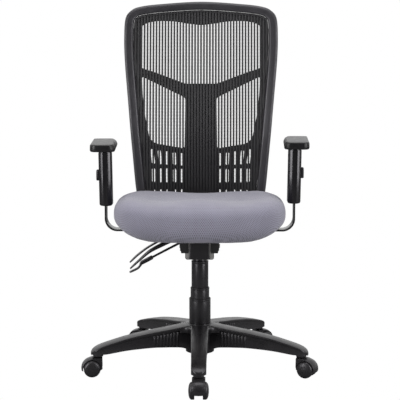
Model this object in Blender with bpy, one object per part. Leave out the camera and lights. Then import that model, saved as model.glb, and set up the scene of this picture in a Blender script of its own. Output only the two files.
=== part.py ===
"""High-back mesh task chair on a five-star caster base.

Units are metres, +Z is up, the sitter faces -Y, and +X is to the right of
someone who faces the chair. The origin is on the floor under the column.
Each function makes one physical piece, or one family of equal pieces.
"""

import math

import bmesh
import bpy
from mathutils import Matrix, Vector

# ---------------------------------------------------------------- driving sizes

GAP = 0.0003                      # between two pieces that touch
PLATE_GAP = 0.0006                # between two moulded edges that lie side by side

WHEEL_RADIUS = 0.025
WHEEL_WIDTH = 0.017
WHEEL_NOTCH = 0.024               # clear width between the two wheels of a caster
WHEEL_SIDES = 20
CASTER_TRAIL = 0.0195             # from the stem's axis back to the wheels' axle
HOOD_CLEARANCE = 0.0018
HOOD_WALL = 0.0048
HOOD_TOP = 0.060
HOOD_WIDTH = 0.038
STEM_RADIUS = 0.0055
AXLE_RADIUS = 0.003

STEM_CIRCLE = 0.320               # radius of the circle through the five stems
LEG_COUNT = 5
FIRST_LEG = -90.0                 # degrees: this leg points straight at the viewer
LEG_END_RADIUS = 0.022
LEG_ROLL_START = 0.300            # radius from which a leg's top rolls down to its end
LEG_ROLL_DROP = 0.0125
LEG_UNDERSIDE_AT_STEM = 0.0672
LEG_POCKET_WALL = 0.0035
STEM_BOSS_RADIUS = 0.0155
HUB_COLLAR_RADIUS = 0.037
HUB_SHOULDER_RADIUS = 0.056
HUB_SKIRT_RADIUS = 0.044
HUB_TOP = 0.1414
HUB_BOTTOM = 0.052

TUBE_RADIUS = 0.0225
TUBE_TOP = 0.225
CYLINDER_RADIUS = 0.014
CYLINDER_BOTTOM = 0.168
CYLINDER_TOP = 0.395
COVER_WALL = 0.0017
COVER_LOWER_RADIUS = 0.0331
COVER_MIDDLE_RADIUS = 0.0290
COVER_UPPER_RADIUS = 0.0261
COVER_NECK_RADIUS = 0.0215
COVER_MIDDLE_BOTTOM = 0.1735
COVER_UPPER_BOTTOM = 0.2430
COVER_LOWER_TOP = 0.218
COVER_MIDDLE_TOP = 0.2516
COVER_UPPER_TOP = 0.3345

HOUSING_HALF_WIDTH = 0.043
HOUSING_BOTTOM = 0.352
HOUSING_TOP = 0.408
HOUSING_FRONT = -0.090
HOUSING_REAR = 0.080
HOUSING_WALL = 0.0025
SOCKET_BOTTOM = 0.3445
NOSE_BOTTOM = 0.357
NOSE_TOP = 0.404
NOSE_HALF = (0.032, 0.029)        # at its bottom and at its top
WING_INNER_X = 0.0330
WING_OUTER_X = 0.058
WING_BOTTOM = 0.3735
TILT_AXIS = (-0.065, 0.390)       # y and z of the seat's tilt shaft
RECLINE_AXIS = (0.062, 0.378)     # y and z of the back's recline shaft

SEAT_HALF_WIDTH = 0.260
SEAT_HALF_DEPTH = 0.235
SEAT_CENTRE_Y = -0.010
SEAT_SQUARENESS = 3.0             # exponent of the seat's superellipse outline
SEAT_SIDE_Z = 0.486               # height of the cushion's widest line
BOARD_BOTTOM = 0.4325
BOARD_THICKNESS = 0.012
BOARD_SHARE = 0.83                # board outline as a share of the cushion's
TOP_EDGE = (16.0, 0.37)           # flatness and roundness of the cushion's upper edge
UNDER_EDGE = (10.0, 0.45)         # the same for its lower edge
LIP_EDGE = (6.5, 0.38)            # and for the lower edge along its front

ARM_X = 0.285
ARM_BAR_THICKNESS = 0.005
ARM_BAR_DEPTH = 0.050
ARM_BEND_RADIUS = 0.036
ARM_BAR_TOP = 0.630
ARM_NOTCH = 0.008                 # one step of the arm's height ratchet
SLEEVE_BOTTOM = 0.5040
SLEEVE_HALF = (0.0198, 0.030)
SLEEVE_SHIFT = (-0.0012, 0.0012)  # outward, at its bottom and at its top
BUTTON_Z = 0.596
PAD_TOP = 0.6980
PAD_THICKNESS = 0.023
PAD_HALF = (0.037, 0.125)
PAD_CENTRE = (0.2898, 0.005)
PAD_TOE_IN = 2.6                  # degrees: the front ends lie nearer the middle

RIM_THICKNESS = 0.026
RIM_SIDE_WIDTH = 0.029
RIM_TOP_WIDTH = 0.026
RIM_SAMPLES = 72
MESH_DEPTH = 0.006                # the mesh lies this far behind the rim's front
MESH_THICKNESS = 0.0015
SPLINE_DEPTH = (0.0080, 0.0122)
CARRIER_DEPTH = (0.0140, 0.0245)
SPINE_HALF_WIDTH = 0.050
SPINE_REAR = 0.0345

# ------------------------------------------------------------------- utilities


def clear_scene():
    for thing in list(bpy.data.objects):
        bpy.data.objects.remove(thing, do_unlink=True)


def make_material(name, colour, roughness, metallic=0.0):
    material = bpy.data.materials.new(name)
    material.use_nodes = True
    shader = material.node_tree.nodes["Principled BSDF"]
    shader.inputs["Base Color"].default_value = (*colour, 1.0)
    shader.inputs["Roughness"].default_value = roughness
    shader.inputs["Metallic"].default_value = metallic
    return material


def finish_object(name, bm, material, smooth=True):
    """Turn a bmesh into an object with its faces pointing out."""
    bmesh.ops.recalc_face_normals(bm, faces=bm.faces)
    mesh = bpy.data.meshes.new(name)
    bm.to_mesh(mesh)
    bm.free()
    if smooth:
        mesh.shade_smooth()
        mesh.set_sharp_from_angle(angle=math.radians(35))
    if material is not None:
        mesh.materials.append(material)
    thing = bpy.data.objects.new(name, mesh)
    bpy.context.scene.collection.objects.link(thing)
    return thing


def add_rings(bm, rings, closed_path=False, caps=True):
    """Skin a row of equally long point rings into a tube."""
    loops = [[bm.verts.new(point) for point in ring] for ring in rings]
    pairs = list(zip(loops, loops[1:]))
    if closed_path:
        pairs.append((loops[-1], loops[0]))
    for low, high in pairs:
        count = len(low)
        for i in range(count):
            j = (i + 1) % count
            bm.faces.new((low[i], low[j], high[j], high[i]))
    if caps and not closed_path:
        bm.faces.new(reversed(loops[0]))
        bm.faces.new(loops[-1])


def loft(name, rings, material, closed_path=False):
    bm = bmesh.new()
    add_rings(bm, rings, closed_path)
    return finish_object(name, bm, material)


def lathe(name, profile, material, sides=24, ring=False, turn=0.0):
    """Turn (radius, height) points about Z. A ring's profile closes on itself."""
    bm = bmesh.new()
    angles = [turn + 2 * math.pi * i / sides for i in range(sides)]
    rings = []
    for radius, height in profile:
        rings.append([(radius * math.cos(a), radius * math.sin(a), height) for a in angles])
    add_rings(bm, rings, closed_path=ring, caps=not ring)
    return finish_object(name, bm, material)


def prism(name, outline, low, high, material, axis="Z"):
    """Extrude a flat outline. Axis Z takes (x, y), Y takes (x, z) and X takes (y, z)."""
    place = {
        "Z": lambda a, b, c: (a, b, c),
        "Y": lambda a, b, c: (a, c, b),
        "X": lambda a, b, c: (c, a, b),
    }[axis]
    rings = [[place(a, b, level) for a, b in outline] for level in (low, high)]
    return loft(name, rings, material)


def block(name, low, high, material):
    outline = [(low[0], low[1]), (high[0], low[1]), (high[0], high[1]), (low[0], high[1])]
    return prism(name, outline, low[2], high[2], material)


def arc(centre, radius, start, end, steps):
    """Points along an arc in a plane, angles in degrees."""
    points = []
    for i in range(steps + 1):
        a = math.radians(start + (end - start) * i / steps)
        points.append((centre[0] + radius * math.cos(a), centre[1] + radius * math.sin(a)))
    return points


def rounded_rectangle(half_x, half_y, radius, steps=3, centre=(0.0, 0.0)):
    points = []
    corners = ((1, 1, 0), (-1, 1, 90), (-1, -1, 180), (1, -1, 270))
    for sx, sy, start in corners:
        middle = (centre[0] + sx * (half_x - radius), centre[1] + sy * (half_y - radius))
        points += arc(middle, radius, start, start + 90, steps)
    return points


def hide_helper(thing):
    thing.hide_render = True
    thing.display_type = "WIRE"


def boolean(target, helpers, operation):
    """Join helpers to the target, or cut them out of it, in one modifier."""
    group = bpy.data.collections.new(f"{target.name}_{operation.lower()}")
    bpy.context.scene.collection.children.link(group)
    for helper in helpers:
        for owner in list(helper.users_collection):
            owner.objects.unlink(helper)
        group.objects.link(helper)
        hide_helper(helper)
    modifier = target.modifiers.new(operation.title(), "BOOLEAN")
    modifier.operation = operation
    modifier.solver = "EXACT"
    modifier.operand_type = "COLLECTION"
    modifier.collection = group


def join(target, helpers):
    boolean(target, helpers, "UNION")


def cut(target, helpers):
    boolean(target, helpers, "DIFFERENCE")


def place(thing, location=(0.0, 0.0, 0.0), turn=None):
    matrix = Matrix.Translation(location)
    thing.matrix_world = matrix @ turn if turn is not None else matrix
    return thing


def along_x(thing, x, y, z):
    """Lay a piece turned about Z along X instead, its base at x."""
    return place(thing, (x, y, z), Matrix.Rotation(math.radians(90), 4, "Y"))


def rod_x(name, radius, x_low, x_high, y, z, material, sides=16):
    thing = lathe(name, [(radius, 0.0), (radius, x_high - x_low)], material, sides)
    return along_x(thing, x_low, y, z)


def smooth_step(value):
    value = min(max(value, 0.0), 1.0)
    return value * value * (3 - 2 * value)


def catmull_rom(points, per_span):
    """An open smooth curve through the points, ends included."""
    path = [2 * points[0] - points[1]] + points + [2 * points[-1] - points[-2]]
    curve = []
    for a, b, c, d in zip(path, path[1:], path[2:], path[3:]):
        for i in range(per_span):
            t = i / per_span
            curve.append(
                0.5 * (2 * b + (c - a) * t + (2 * a - 5 * b + 4 * c - d) * t**2
                       + (3 * b - a - 3 * c + d) * t**3)
            )
    curve.append(points[-1])
    return curve


# ------------------------------------------------------------------- materials

NYLON = make_material("nylon", (0.022, 0.021, 0.022), 0.45)
GLOSS = make_material("gloss_plastic", (0.020, 0.020, 0.021), 0.25)
RUBBER = make_material("wheel_nylon", (0.018, 0.018, 0.019), 0.55)
BLACK_STEEL = make_material("black_steel", (0.02, 0.02, 0.022), 0.22, 0.6)
BARE_STEEL = make_material("bare_steel", (0.55, 0.55, 0.56), 0.3, 1.0)
FABRIC = make_material("seat_fabric", (0.32, 0.31, 0.38), 0.9)
NETTING = make_material("back_mesh", (0.03, 0.03, 0.032), 0.8)
PLYWOOD = make_material("plywood", (0.42, 0.30, 0.18), 0.7)
SOFT_PAD = make_material("pad_urethane", (0.10, 0.10, 0.105), 0.55)

# ------------------------------------------------------------------- the base


def leg_top(radius):
    """Height of a leg's top over its outer end."""
    slope_top = 0.0990 - 0.28 * (radius - 0.290)
    rolled = (radius - LEG_ROLL_START) / (STEM_CIRCLE + LEG_END_RADIUS - LEG_ROLL_START)
    return slope_top - LEG_ROLL_DROP * (1 - math.sqrt(1 - rolled * rolled))


def leg_sections():
    """Rows of radius, top, flange line, underside, half widths of flange and flank."""
    rows = [
        (0.028, 0.1400, 0.1300, 0.0560, 0.0268, 0.0222),
        (0.060, 0.1365, 0.1275, 0.0700, 0.0265, 0.0220),
        (0.090, 0.1325, 0.1240, 0.0738, 0.0261, 0.0218),
        (0.120, 0.1288, 0.1200, 0.0757, 0.0256, 0.0216),
        (0.160, 0.1240, 0.1160, 0.0772, 0.0249, 0.0214),
        (0.230, 0.1128, 0.1060, 0.0750, 0.0234, 0.0213),
        (0.290, 0.0990, 0.0930, 0.0690, 0.0222, 0.0214),
    ]
    for turn in (0, 35, 60, 80):
        share = math.cos(math.radians(turn))
        radius = STEM_CIRCLE + LEG_END_RADIUS * math.sin(math.radians(turn))
        top = leg_top(radius)
        width = LEG_END_RADIUS * share
        rows.append((radius, top, top - 0.0050, LEG_UNDERSIDE_AT_STEM, width, width - 0.0002))
    return rows


def leg_ring(radius, top, flange, bottom, half_top, half_flank):
    edge = 0.003
    half = [
        (half_flank, bottom),
        (half_flank, flange - 0.002),
        (half_top, flange),
        (half_top, top - edge),
        (half_top - min(edge, half_top / 2), top - 0.0004),
    ]
    mirrored = [(-u, z) for u, z in reversed(half)]
    return [(radius, u, z) for u, z in half + mirrored]


def pocket_ring(radius, top, bottom, half_flank):
    """The hollow under a leg, a little inside its walls."""
    half = half_flank - LEG_POCKET_WALL
    low, high = bottom - 0.02, top - 0.009
    return [(radius, u, z) for u, z in ((half, low), (half, high), (-half, high), (-half, low))]


def leg_angles():
    return [FIRST_LEG + 360.0 / LEG_COUNT * i for i in range(LEG_COUNT)]


def make_hub():
    """The middle of the base: a collar round the column, a shoulder and a skirt."""
    profile = [
        (0.0242, HUB_TOP), (HUB_COLLAR_RADIUS, HUB_TOP), (HUB_SHOULDER_RADIUS, 0.1350),
        (HUB_SHOULDER_RADIUS, 0.118), (HUB_SKIRT_RADIUS, 0.112),
        (HUB_SKIRT_RADIUS, HUB_BOTTOM), (0.0230, HUB_BOTTOM),
    ]
    return lathe("five_star_base", profile, NYLON, sides=30, ring=True)


def make_base():
    hub = make_hub()
    added, cutters = [], []
    sections = leg_sections()
    bore = STEM_RADIUS + GAP
    for i, angle in enumerate(leg_angles()):
        turn = Matrix.Rotation(math.radians(angle), 4, "Z")
        stem = turn @ Vector((STEM_CIRCLE, 0.0, 0.0))
        leg = loft(f"leg_{i}", [leg_ring(*row) for row in sections], None)
        boss = lathe(f"stem_boss_{i}", [(STEM_BOSS_RADIUS, HOOD_TOP + 0.0004), (STEM_BOSS_RADIUS, 0.075)],
                     None, sides=20)
        added += [place(leg, turn=turn), place(boss, stem)]
        rings = [
            pocket_ring(0.052, 0.1360, 0.0660, 0.0220),
            pocket_ring(0.160, 0.1240, 0.0772, 0.0214),
            pocket_ring(0.230, 0.1128, 0.0750, 0.0213),
            pocket_ring(0.288, 0.0993, 0.0690, 0.0214),
        ]
        cutters.append(place(loft(f"leg_pocket_{i}", rings, None), turn=turn))
        socket = lathe(f"stem_socket_{i}", [(bore, 0.040), (bore, 0.084)], None, sides=12)
        cutters.append(place(socket, stem))
    join(hub, added)
    cut(hub, cutters)


# ---------------------------------------------------------------- the casters

# Where each caster's trail points, in degrees, for the legs in order.
CASTER_NAMES = ("front", "right", "rear_right", "rear_left", "left")
CASTER_HEADINGS = (-90.0, -27.0, 35.0, 160.0, 189.0)


def hood_outline():
    """Side view of a hood: x runs along the trail, z up."""
    axle = (CASTER_TRAIL, WHEEL_RADIUS)
    inner = WHEEL_RADIUS + HOOD_CLEARANCE
    outer = inner + HOOD_WALL
    points = arc(axle, outer, -12, 74, 7)
    points += [(0.0150, HOOD_TOP), (-0.0125, HOOD_TOP), (-0.0130, 0.030), (-0.0080, 0.021)]
    points += arc(axle, inner, 184, -12, 12)
    return points


def web_outline():
    """The wall between the two wheels, which holds the stem and the axle."""
    axle = (CASTER_TRAIL, WHEEL_RADIUS)
    top = arc(axle, WHEEL_RADIUS + HOOD_CLEARANCE + 0.002, 30, 118, 5)
    return top + [(-0.0110, 0.052), (-0.0120, 0.022), (0.0, 0.0135), (0.0270, 0.0135), (0.0400, 0.020)]


def make_caster(name, angle, heading):
    a = math.radians(angle)
    stem = Vector((STEM_CIRCLE * math.cos(a), STEM_CIRCLE * math.sin(a), 0.0))
    frame = Matrix.Translation(stem) @ Matrix.Rotation(math.radians(heading), 4, "Z")
    half_web = WHEEL_NOTCH / 2 - 0.0012

    hood = prism(f"caster_hood_{name}", hood_outline(), -HOOD_WIDTH / 2, HOOD_WIDTH / 2, NYLON, "Y")
    web = prism(f"hood_web_{name}", web_outline(), -half_web, half_web, None, "Y")
    stem_hole = lathe(f"hood_stem_hole_{name}", [(STEM_RADIUS + GAP, 0.036), (STEM_RADIUS + GAP, 0.07)],
                      None, sides=12)
    axle_hole = lathe(f"hood_axle_hole_{name}", [(AXLE_RADIUS + GAP, -0.03), (AXLE_RADIUS + GAP, 0.03)],
                      None, sides=12)
    across = Matrix.Translation((CASTER_TRAIL, 0.0, WHEEL_RADIUS)) @ Matrix.Rotation(math.radians(-90), 4, "X")
    hood.matrix_world = frame
    web.matrix_world = frame
    stem_hole.matrix_world = frame
    axle_hole.matrix_world = frame @ across
    join(hood, [web])
    cut(hood, [stem_hole, axle_hole])

    stem_pin = lathe(
        f"caster_stem_{name}",
        [(STEM_RADIUS, 0.0363), (STEM_RADIUS, 0.080), (STEM_RADIUS * 0.6, 0.0835)],
        BARE_STEEL, sides=12,
    )
    stem_pin.matrix_world = frame
    reach = WHEEL_NOTCH / 2 + 0.0115
    axle = lathe(f"caster_axle_{name}", [(AXLE_RADIUS, -reach), (AXLE_RADIUS, reach)], BARE_STEEL, sides=12)
    axle.matrix_world = frame @ across
    for side, sign in (("a", 1), ("b", -1)):
        wheel = make_wheel(f"caster_wheel_{name}_{side}")
        outward = Matrix.Rotation(math.radians(0 if sign > 0 else 180), 4, "X")
        wheel.matrix_world = frame @ across @ outward


def make_wheel(name):
    """A wheel about Z with a domed outer face, its inner face half a notch from the origin."""
    inner = WHEEL_NOTCH / 2
    outer = inner + WHEEL_WIDTH
    # The tread is a polygon that stands on a flat, so its corners lie a little further out.
    tread = WHEEL_RADIUS / math.cos(math.pi / WHEEL_SIDES)
    bore = AXLE_RADIUS + GAP
    profile = [
        (bore, inner + 0.012), (bore, inner), (tread, inner),
        (tread, outer - 0.0090), (tread - 0.0018, outer - 0.0055), (tread - 0.0055, outer - 0.0028),
        (tread - 0.0115, outer - 0.0009), (tread - 0.0190, outer),
    ]
    return lathe(name, profile, RUBBER, WHEEL_SIDES, turn=math.pi / WHEEL_SIDES)


# ------------------------------------------------- the gas lift and its covers


def make_gas_lift():
    lathe("gas_outer_tube",
          [(0.0056, 0.0525), (0.0226, 0.0525), (0.0238, 0.1300), (TUBE_RADIUS, 0.1320),
           (TUBE_RADIUS, TUBE_TOP), (0.0216, TUBE_TOP), (0.0216, 0.0600), (0.0056, 0.0600)],
          BLACK_STEEL, sides=30, ring=True)
    lathe("gas_guide_bush",
          [(0.0145, 0.150), (0.0213, 0.150), (0.0213, TUBE_TOP - 0.001), (0.0145, TUBE_TOP - 0.001)],
          NYLON, sides=24, ring=True)
    lathe("gas_cylinder",
          [(0.0056, CYLINDER_BOTTOM), (CYLINDER_RADIUS, CYLINDER_BOTTOM), (CYLINDER_RADIUS, 0.350),
           (0.0132, CYLINDER_TOP), (0.0034, CYLINDER_TOP), (0.0034, 0.380), (0.0118, 0.375),
           (0.0118, CYLINDER_BOTTOM + 0.006), (0.0056, CYLINDER_BOTTOM + 0.006)],
          BLACK_STEEL, sides=24, ring=True)
    lathe("gas_piston_rod",
          [(0.005, 0.0530), (0.005, 0.1780), (0.0113, 0.1785), (0.0113, 0.1900)],
          BARE_STEEL, sides=16)
    lathe("gas_thrust_bearing",
          [(0.0054, 0.0603), (0.0120, 0.0603), (0.0120, 0.0650), (0.0054, 0.0650)],
          BARE_STEEL, sides=16, ring=True)
    lathe("gas_release_pin", [(0.0030, 0.3820), (0.0030, 0.4015)], BARE_STEEL, sides=12)


def make_cover(name, radius, bottom, top, lip, neck=None):
    """One stage of the telescoping cover: a sleeve, with an outward lip at its top."""
    inner = radius - COVER_WALL
    if neck is None:
        profile = [
            (inner, bottom), (radius - lip, bottom), (radius - lip, top - 0.006),
            (radius, top - 0.005), (radius, top), (inner, top),
        ]
    else:
        profile = [
            (inner, bottom), (radius, bottom), (radius, top - 0.003),
            (neck, top - 0.001), (neck, top + 0.0085), (neck - 0.0015, top + 0.0085),
            (neck - 0.0015, top - 0.003), (inner, top - 0.004),
        ]
    lathe(name, profile, NYLON, sides=24, ring=True)


def make_covers():
    make_cover("cover_lower", COVER_LOWER_RADIUS, HUB_TOP + GAP, COVER_LOWER_TOP, 0.0003)
    make_cover("cover_middle", COVER_MIDDLE_RADIUS, COVER_MIDDLE_BOTTOM, COVER_MIDDLE_TOP, 0.0003)
    make_cover("cover_upper", COVER_UPPER_RADIUS, COVER_UPPER_BOTTOM, COVER_UPPER_TOP, 0.0003,
               neck=COVER_NECK_RADIUS)


# ---------------------------------------------------------------- the mechanism

LEVER_ROOTS = {"lift": 0.000, "recline": 0.026, "tilt": 0.052}


def make_housing():
    width, wall = HOUSING_HALF_WIDTH, HOUSING_WALL
    housing = block("mechanism_housing", (-width, HOUSING_FRONT, HOUSING_BOTTOM),
                    (width, HOUSING_REAR, HOUSING_TOP), BLACK_STEEL)
    inside = block("housing_inside", (-width + wall, HOUSING_FRONT + wall, HOUSING_BOTTOM + wall),
                   (width - wall, HOUSING_REAR + 0.02, HOUSING_TOP + 0.02), None)
    cut(housing, [inside])
    low_half, high_half = NOSE_HALF
    nose = prism("housing_nose",
                 [(-low_half, NOSE_BOTTOM), (low_half, NOSE_BOTTOM), (high_half, NOSE_TOP), (-high_half, NOSE_TOP)],
                 HOUSING_FRONT - 0.022, HOUSING_FRONT + 0.001, None, "Y")
    socket = lathe("housing_socket", [(0.0195, SOCKET_BOTTOM), (0.0195, 0.392)], None, sides=24)
    join(housing, [nose, socket])
    bore = lathe("housing_bore", [(CYLINDER_RADIUS + GAP, 0.33), (CYLINDER_RADIUS + GAP, 0.42)],
                 None, sides=24)
    holes = [
        bore,
        rod_x("housing_tilt_hole", 0.004 + GAP, -0.07, 0.07, *TILT_AXIS, None),
        rod_x("housing_recline_hole", 0.005 + GAP, -0.07, 0.07, *RECLINE_AXIS, None),
    ]
    for name, y in LEVER_ROOTS.items():
        holes.append(block(f"housing_slot_{name}", (-width - 0.01, y - 0.0065, 0.386),
                           (-width + 0.01, y + 0.0065, 0.4065), None))
    cut(housing, holes)


def make_shafts():
    rod_x("tilt_shaft", 0.004, -0.0590, 0.0590, *TILT_AXIS, BARE_STEEL)
    rod_x("recline_shaft", 0.005, -0.0445, 0.0445, *RECLINE_AXIS, BARE_STEEL)


def make_recline_spring():
    """A torsion spring round the recline shaft, between the bracket's two lugs."""
    wire, radius, turns, steps = 0.002, 0.0105, 6, 9
    half_length = 0.022
    rings = []
    for i in range(turns * steps + 1):
        a = 2 * math.pi * i / steps
        x = -half_length + 2 * half_length * i / (turns * steps)
        radial = Vector((0.0, math.cos(a), math.sin(a)))
        centre = Vector((x, *RECLINE_AXIS)) + radius * radial
        ring = []
        for k in range(4):
            b = 2 * math.pi * k / 4
            ring.append(centre + wire * (math.cos(b) * radial + math.sin(b) * Vector((1, 0, 0))))
        rings.append(ring)
    loft("recline_spring", rings, BARE_STEEL)


def make_seat_plate():
    top = BOARD_BOTTOM - GAP
    plate = block("seat_plate", (-0.100, -0.100, top - 0.003), (0.100, 0.070, top), BLACK_STEEL)
    ears = []
    for sign, side in ((-1, "left"), (1, "right")):
        wing = [(WING_INNER_X, WING_BOTTOM), (0.054, WING_BOTTOM), (WING_OUTER_X, 0.395),
                (WING_OUTER_X, top - 0.001), (WING_INNER_X, top - 0.001)]
        wing = [(sign * x, z) for x, z in wing]
        ears.append(prism(f"plate_wing_{side}", wing, -0.100, -0.097, None, "Y"))
        ear = [(-0.0975, 0.3800), (-0.060, 0.378), (-0.048, 0.386), (-0.040, top - 0.001),
               (-0.0975, top - 0.001)]
        x_low, x_high = sorted((sign * 0.0545, sign * WING_OUTER_X))
        ears.append(prism(f"plate_ear_{side}", ear, x_low, x_high, None, "X"))
    join(plate, ears)
    cut(plate, [rod_x("plate_hole", 0.004 + GAP, -0.07, 0.07, *TILT_AXIS, None)])


def make_back_bracket():
    """The J-bar: two lugs on the recline shaft, a flat run under the seat, then the upright."""
    y_axis, z_axis = RECLINE_AXIS
    half, thickness = 0.036, 0.007
    centreline = [(0.088, z_axis - 0.004), (0.262, z_axis - 0.004)]
    centreline += arc((0.268, z_axis + 0.036), 0.040, -84, 0, 5)
    standoff = SPINE_REAR + 0.0020 + thickness / 2
    centreline += [(back_depth(0.0, z) + standoff, z) for z in (0.450, 0.517, 0.570, 0.620, 0.650)]
    rings = []
    for i, (y, z) in enumerate(centreline):
        before = Vector(centreline[max(i - 1, 0)])
        after = Vector(centreline[min(i + 1, len(centreline) - 1)])
        tangent = (after - before).normalized()
        normal = Vector((tangent.y, -tangent.x)) * thickness / 2
        rings.append([(x, y + s * normal.x, z + s * normal.y)
                      for x, s in ((-half, -1), (half, -1), (half, 1), (-half, 1))])
    bar = loft("back_bracket", rings, BLACK_STEEL)
    lugs = []
    nose = arc((y_axis, z_axis), 0.0085, 90, 270, 6)
    outline = nose + [(0.100, z_axis - 0.0085), (0.100, z_axis + 0.001), (0.085, z_axis + 0.0085)]
    for sign, side in ((-1, "left"), (1, "right")):
        x_low, x_high = sorted((sign * 0.028, sign * half))
        lugs.append(prism(f"bracket_lug_{side}", outline, x_low, x_high, None, "X"))
    join(bar, lugs)
    cut(bar, [rod_x("bracket_hole", 0.005 + GAP, -0.05, 0.05, y_axis, z_axis, None)])


def ribbon(name, y, rows, material):
    """A blade in the XZ plane: rows of x, z, half width along Y and thickness."""
    rings = []
    for i, (x, z, half, thickness) in enumerate(rows):
        before = Vector(rows[max(i - 1, 0)][:2])
        after = Vector(rows[min(i + 1, len(rows) - 1)][:2])
        tangent = (after - before).normalized()
        across = Vector((-tangent.y, tangent.x)) * thickness / 2
        edge = 0.7 * half
        rings.append([
            (x + across.x, y - edge, z + across.y), (x + across.x, y + edge, z + across.y),
            (x, y + half, z), (x - across.x, y + edge, z - across.y),
            (x - across.x, y - edge, z - across.y), (x, y - half, z),
        ])
    return loft(name, rings, material)


def make_levers():
    ribbon("lever_lift", LEVER_ROOTS["lift"], [
        (0.001, 0.4045, 0.0035, 0.0045), (-0.030, 0.4040, 0.0040, 0.0060),
        (-0.046, 0.3960, 0.0035, 0.0065), (-0.066, 0.3855, 0.0032, 0.0072),
        (-0.144, 0.3445, 0.0032, 0.0072), (-0.147, 0.3430, 0.0060, 0.0125),
        (-0.178, 0.3265, 0.0060, 0.0125), (-0.183, 0.3170, 0.0070, 0.0072),
        (-0.190, 0.3095, 0.0078, 0.0068), (-0.200, 0.3040, 0.0080, 0.0066), (-0.2155, 0.2970, 0.0070, 0.0060),
    ], GLOSS)
    ribbon("lever_recline", LEVER_ROOTS["recline"], [
        (-0.028, 0.3965, 0.0050, 0.0060), (-0.060, 0.3945, 0.0050, 0.0075),
        (-0.095, 0.3880, 0.0090, 0.0120), (-0.120, 0.3765, 0.0115, 0.0125),
        (-0.155, 0.3570, 0.0120, 0.0100), (-0.190, 0.3265, 0.0120, 0.0068),
        (-0.215, 0.3035, 0.0090, 0.0058),
    ], GLOSS)
    ribbon("lever_tilt", LEVER_ROOTS["tilt"], [
        (-0.028, 0.3975, 0.0050, 0.0060), (-0.070, 0.3965, 0.0050, 0.0060),
        (-0.110, 0.3930, 0.0100, 0.0062), (-0.143, 0.3765, 0.0120, 0.0064),
        (-0.168, 0.3610, 0.0120, 0.0064), (-0.193, 0.3415, 0.0120, 0.0064),
        (-0.218, 0.3180, 0.0090, 0.0060),
    ], GLOSS)


# ------------------------------------------------------------------- the seat


def seat_outline(share, sides):
    """The seat's plan, a superellipse, scaled about its centre."""
    power = 2.0 / SEAT_SQUARENESS
    points = []
    for i in range(sides):
        a = 2 * math.pi * i / sides
        c, s = math.cos(a), math.sin(a)
        x = math.copysign(abs(c) ** power, c) * SEAT_HALF_WIDTH
        y = math.copysign(abs(s) ** power, s) * SEAT_HALF_DEPTH
        points.append((share * x, SEAT_CENTRE_Y + share * y))
    return points


def seat_top_height(x, y):
    """Height of the cushion's upper surface before its edge rounds off."""
    side_rise = 0.0090 * smooth_step(abs(x) / 0.17)
    shoulder = 0.0060 * smooth_step((abs(x) - 0.1335) / 0.08)
    ridge = 0.016 * math.exp(-((x / 0.075) ** 2) - ((y + 0.150) / 0.085) ** 2)
    front_rise = 0.004 * smooth_step((-y - 0.02) / 0.12)
    hollows = -0.006 * math.exp(-(((abs(x) - 0.125) / 0.065) ** 2) - ((y + 0.02) / 0.13) ** 2)
    return 0.517 + side_rise + shoulder + ridge + front_rise + hollows


def front_lip(y):
    """From 0 over most of the seat to 1 along its front edge."""
    return smooth_step((-y - 0.11) / 0.093)


def seat_under_height(y):
    """Height of the cushion's underside: lower along the front lip."""
    return 0.4340 - 0.0260 * front_lip(y)


def edge_fullness(share, edge):
    """How far a face stands from the widest line, from 1 in the middle to 0 at the edge."""
    flatness, roundness = edge
    return (1 - share ** flatness) ** roundness


def make_cushion():
    sides = 36
    shares = (0.12, 0.34, 0.56, 0.74, 0.87, 0.94, 0.982)

    def ring(share, upper):
        points = []
        for x, y in seat_outline(share, sides):
            if upper:
                height, fullness = seat_top_height(x, y), edge_fullness(share, TOP_EDGE)
            else:
                lip = front_lip(y)
                height = seat_under_height(y)
                fullness = ((1 - lip) * edge_fullness(share, UNDER_EDGE)
                            + lip * edge_fullness(share, LIP_EDGE))
            points.append((x, y, SEAT_SIDE_Z + (height - SEAT_SIDE_Z) * fullness))
        return points

    rings = [ring(share, False) for share in shares]
    rings.append([(x, y, SEAT_SIDE_Z) for x, y in seat_outline(1.0, sides)])
    rings += [ring(share, True) for share in reversed(shares)]
    thing = loft("seat_cushion", rings, FABRIC)
    recess = prism("cushion_recess", seat_outline(BOARD_SHARE + 0.003, 32), 0.38,
                   BOARD_BOTTOM + BOARD_THICKNESS + GAP, None)
    cut(thing, [recess])


def make_board():
    prism("seat_board", seat_outline(BOARD_SHARE, 32), BOARD_BOTTOM,
          BOARD_BOTTOM + BOARD_THICKNESS, PLYWOOD)


# ------------------------------------------------------------------- the arms


def make_arm(side, sign, lift):
    """One arm. Its sleeve, pad and button stand `lift` above the lowest drawn notch."""
    make_arm_bracket(side, sign)
    make_sleeve(side, sign, lift)
    make_arm_pad(side, sign, lift)
    make_arm_button(side, sign, lift)


def make_arm_bracket(side, sign):
    half = ARM_BAR_THICKNESS / 2
    z_run = BOARD_BOTTOM - GAP - half
    centre = (ARM_X - ARM_BEND_RADIUS, z_run + ARM_BEND_RADIUS)
    outer = [(0.118, z_run - half)]
    outer += arc(centre, ARM_BEND_RADIUS + half, -90, 0, 7)
    outer += [(ARM_X + half, ARM_BAR_TOP)]
    inner = [(ARM_X - half, ARM_BAR_TOP)]
    inner += arc(centre, ARM_BEND_RADIUS - half, 0, -90, 7)
    inner += [(0.118, z_run + half)]
    outline = [(sign * x, z) for x, z in outer + inner]
    prism(f"arm_bracket_{side}", outline, -ARM_BAR_DEPTH / 2, ARM_BAR_DEPTH / 2, BLACK_STEEL, "Y")


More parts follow.
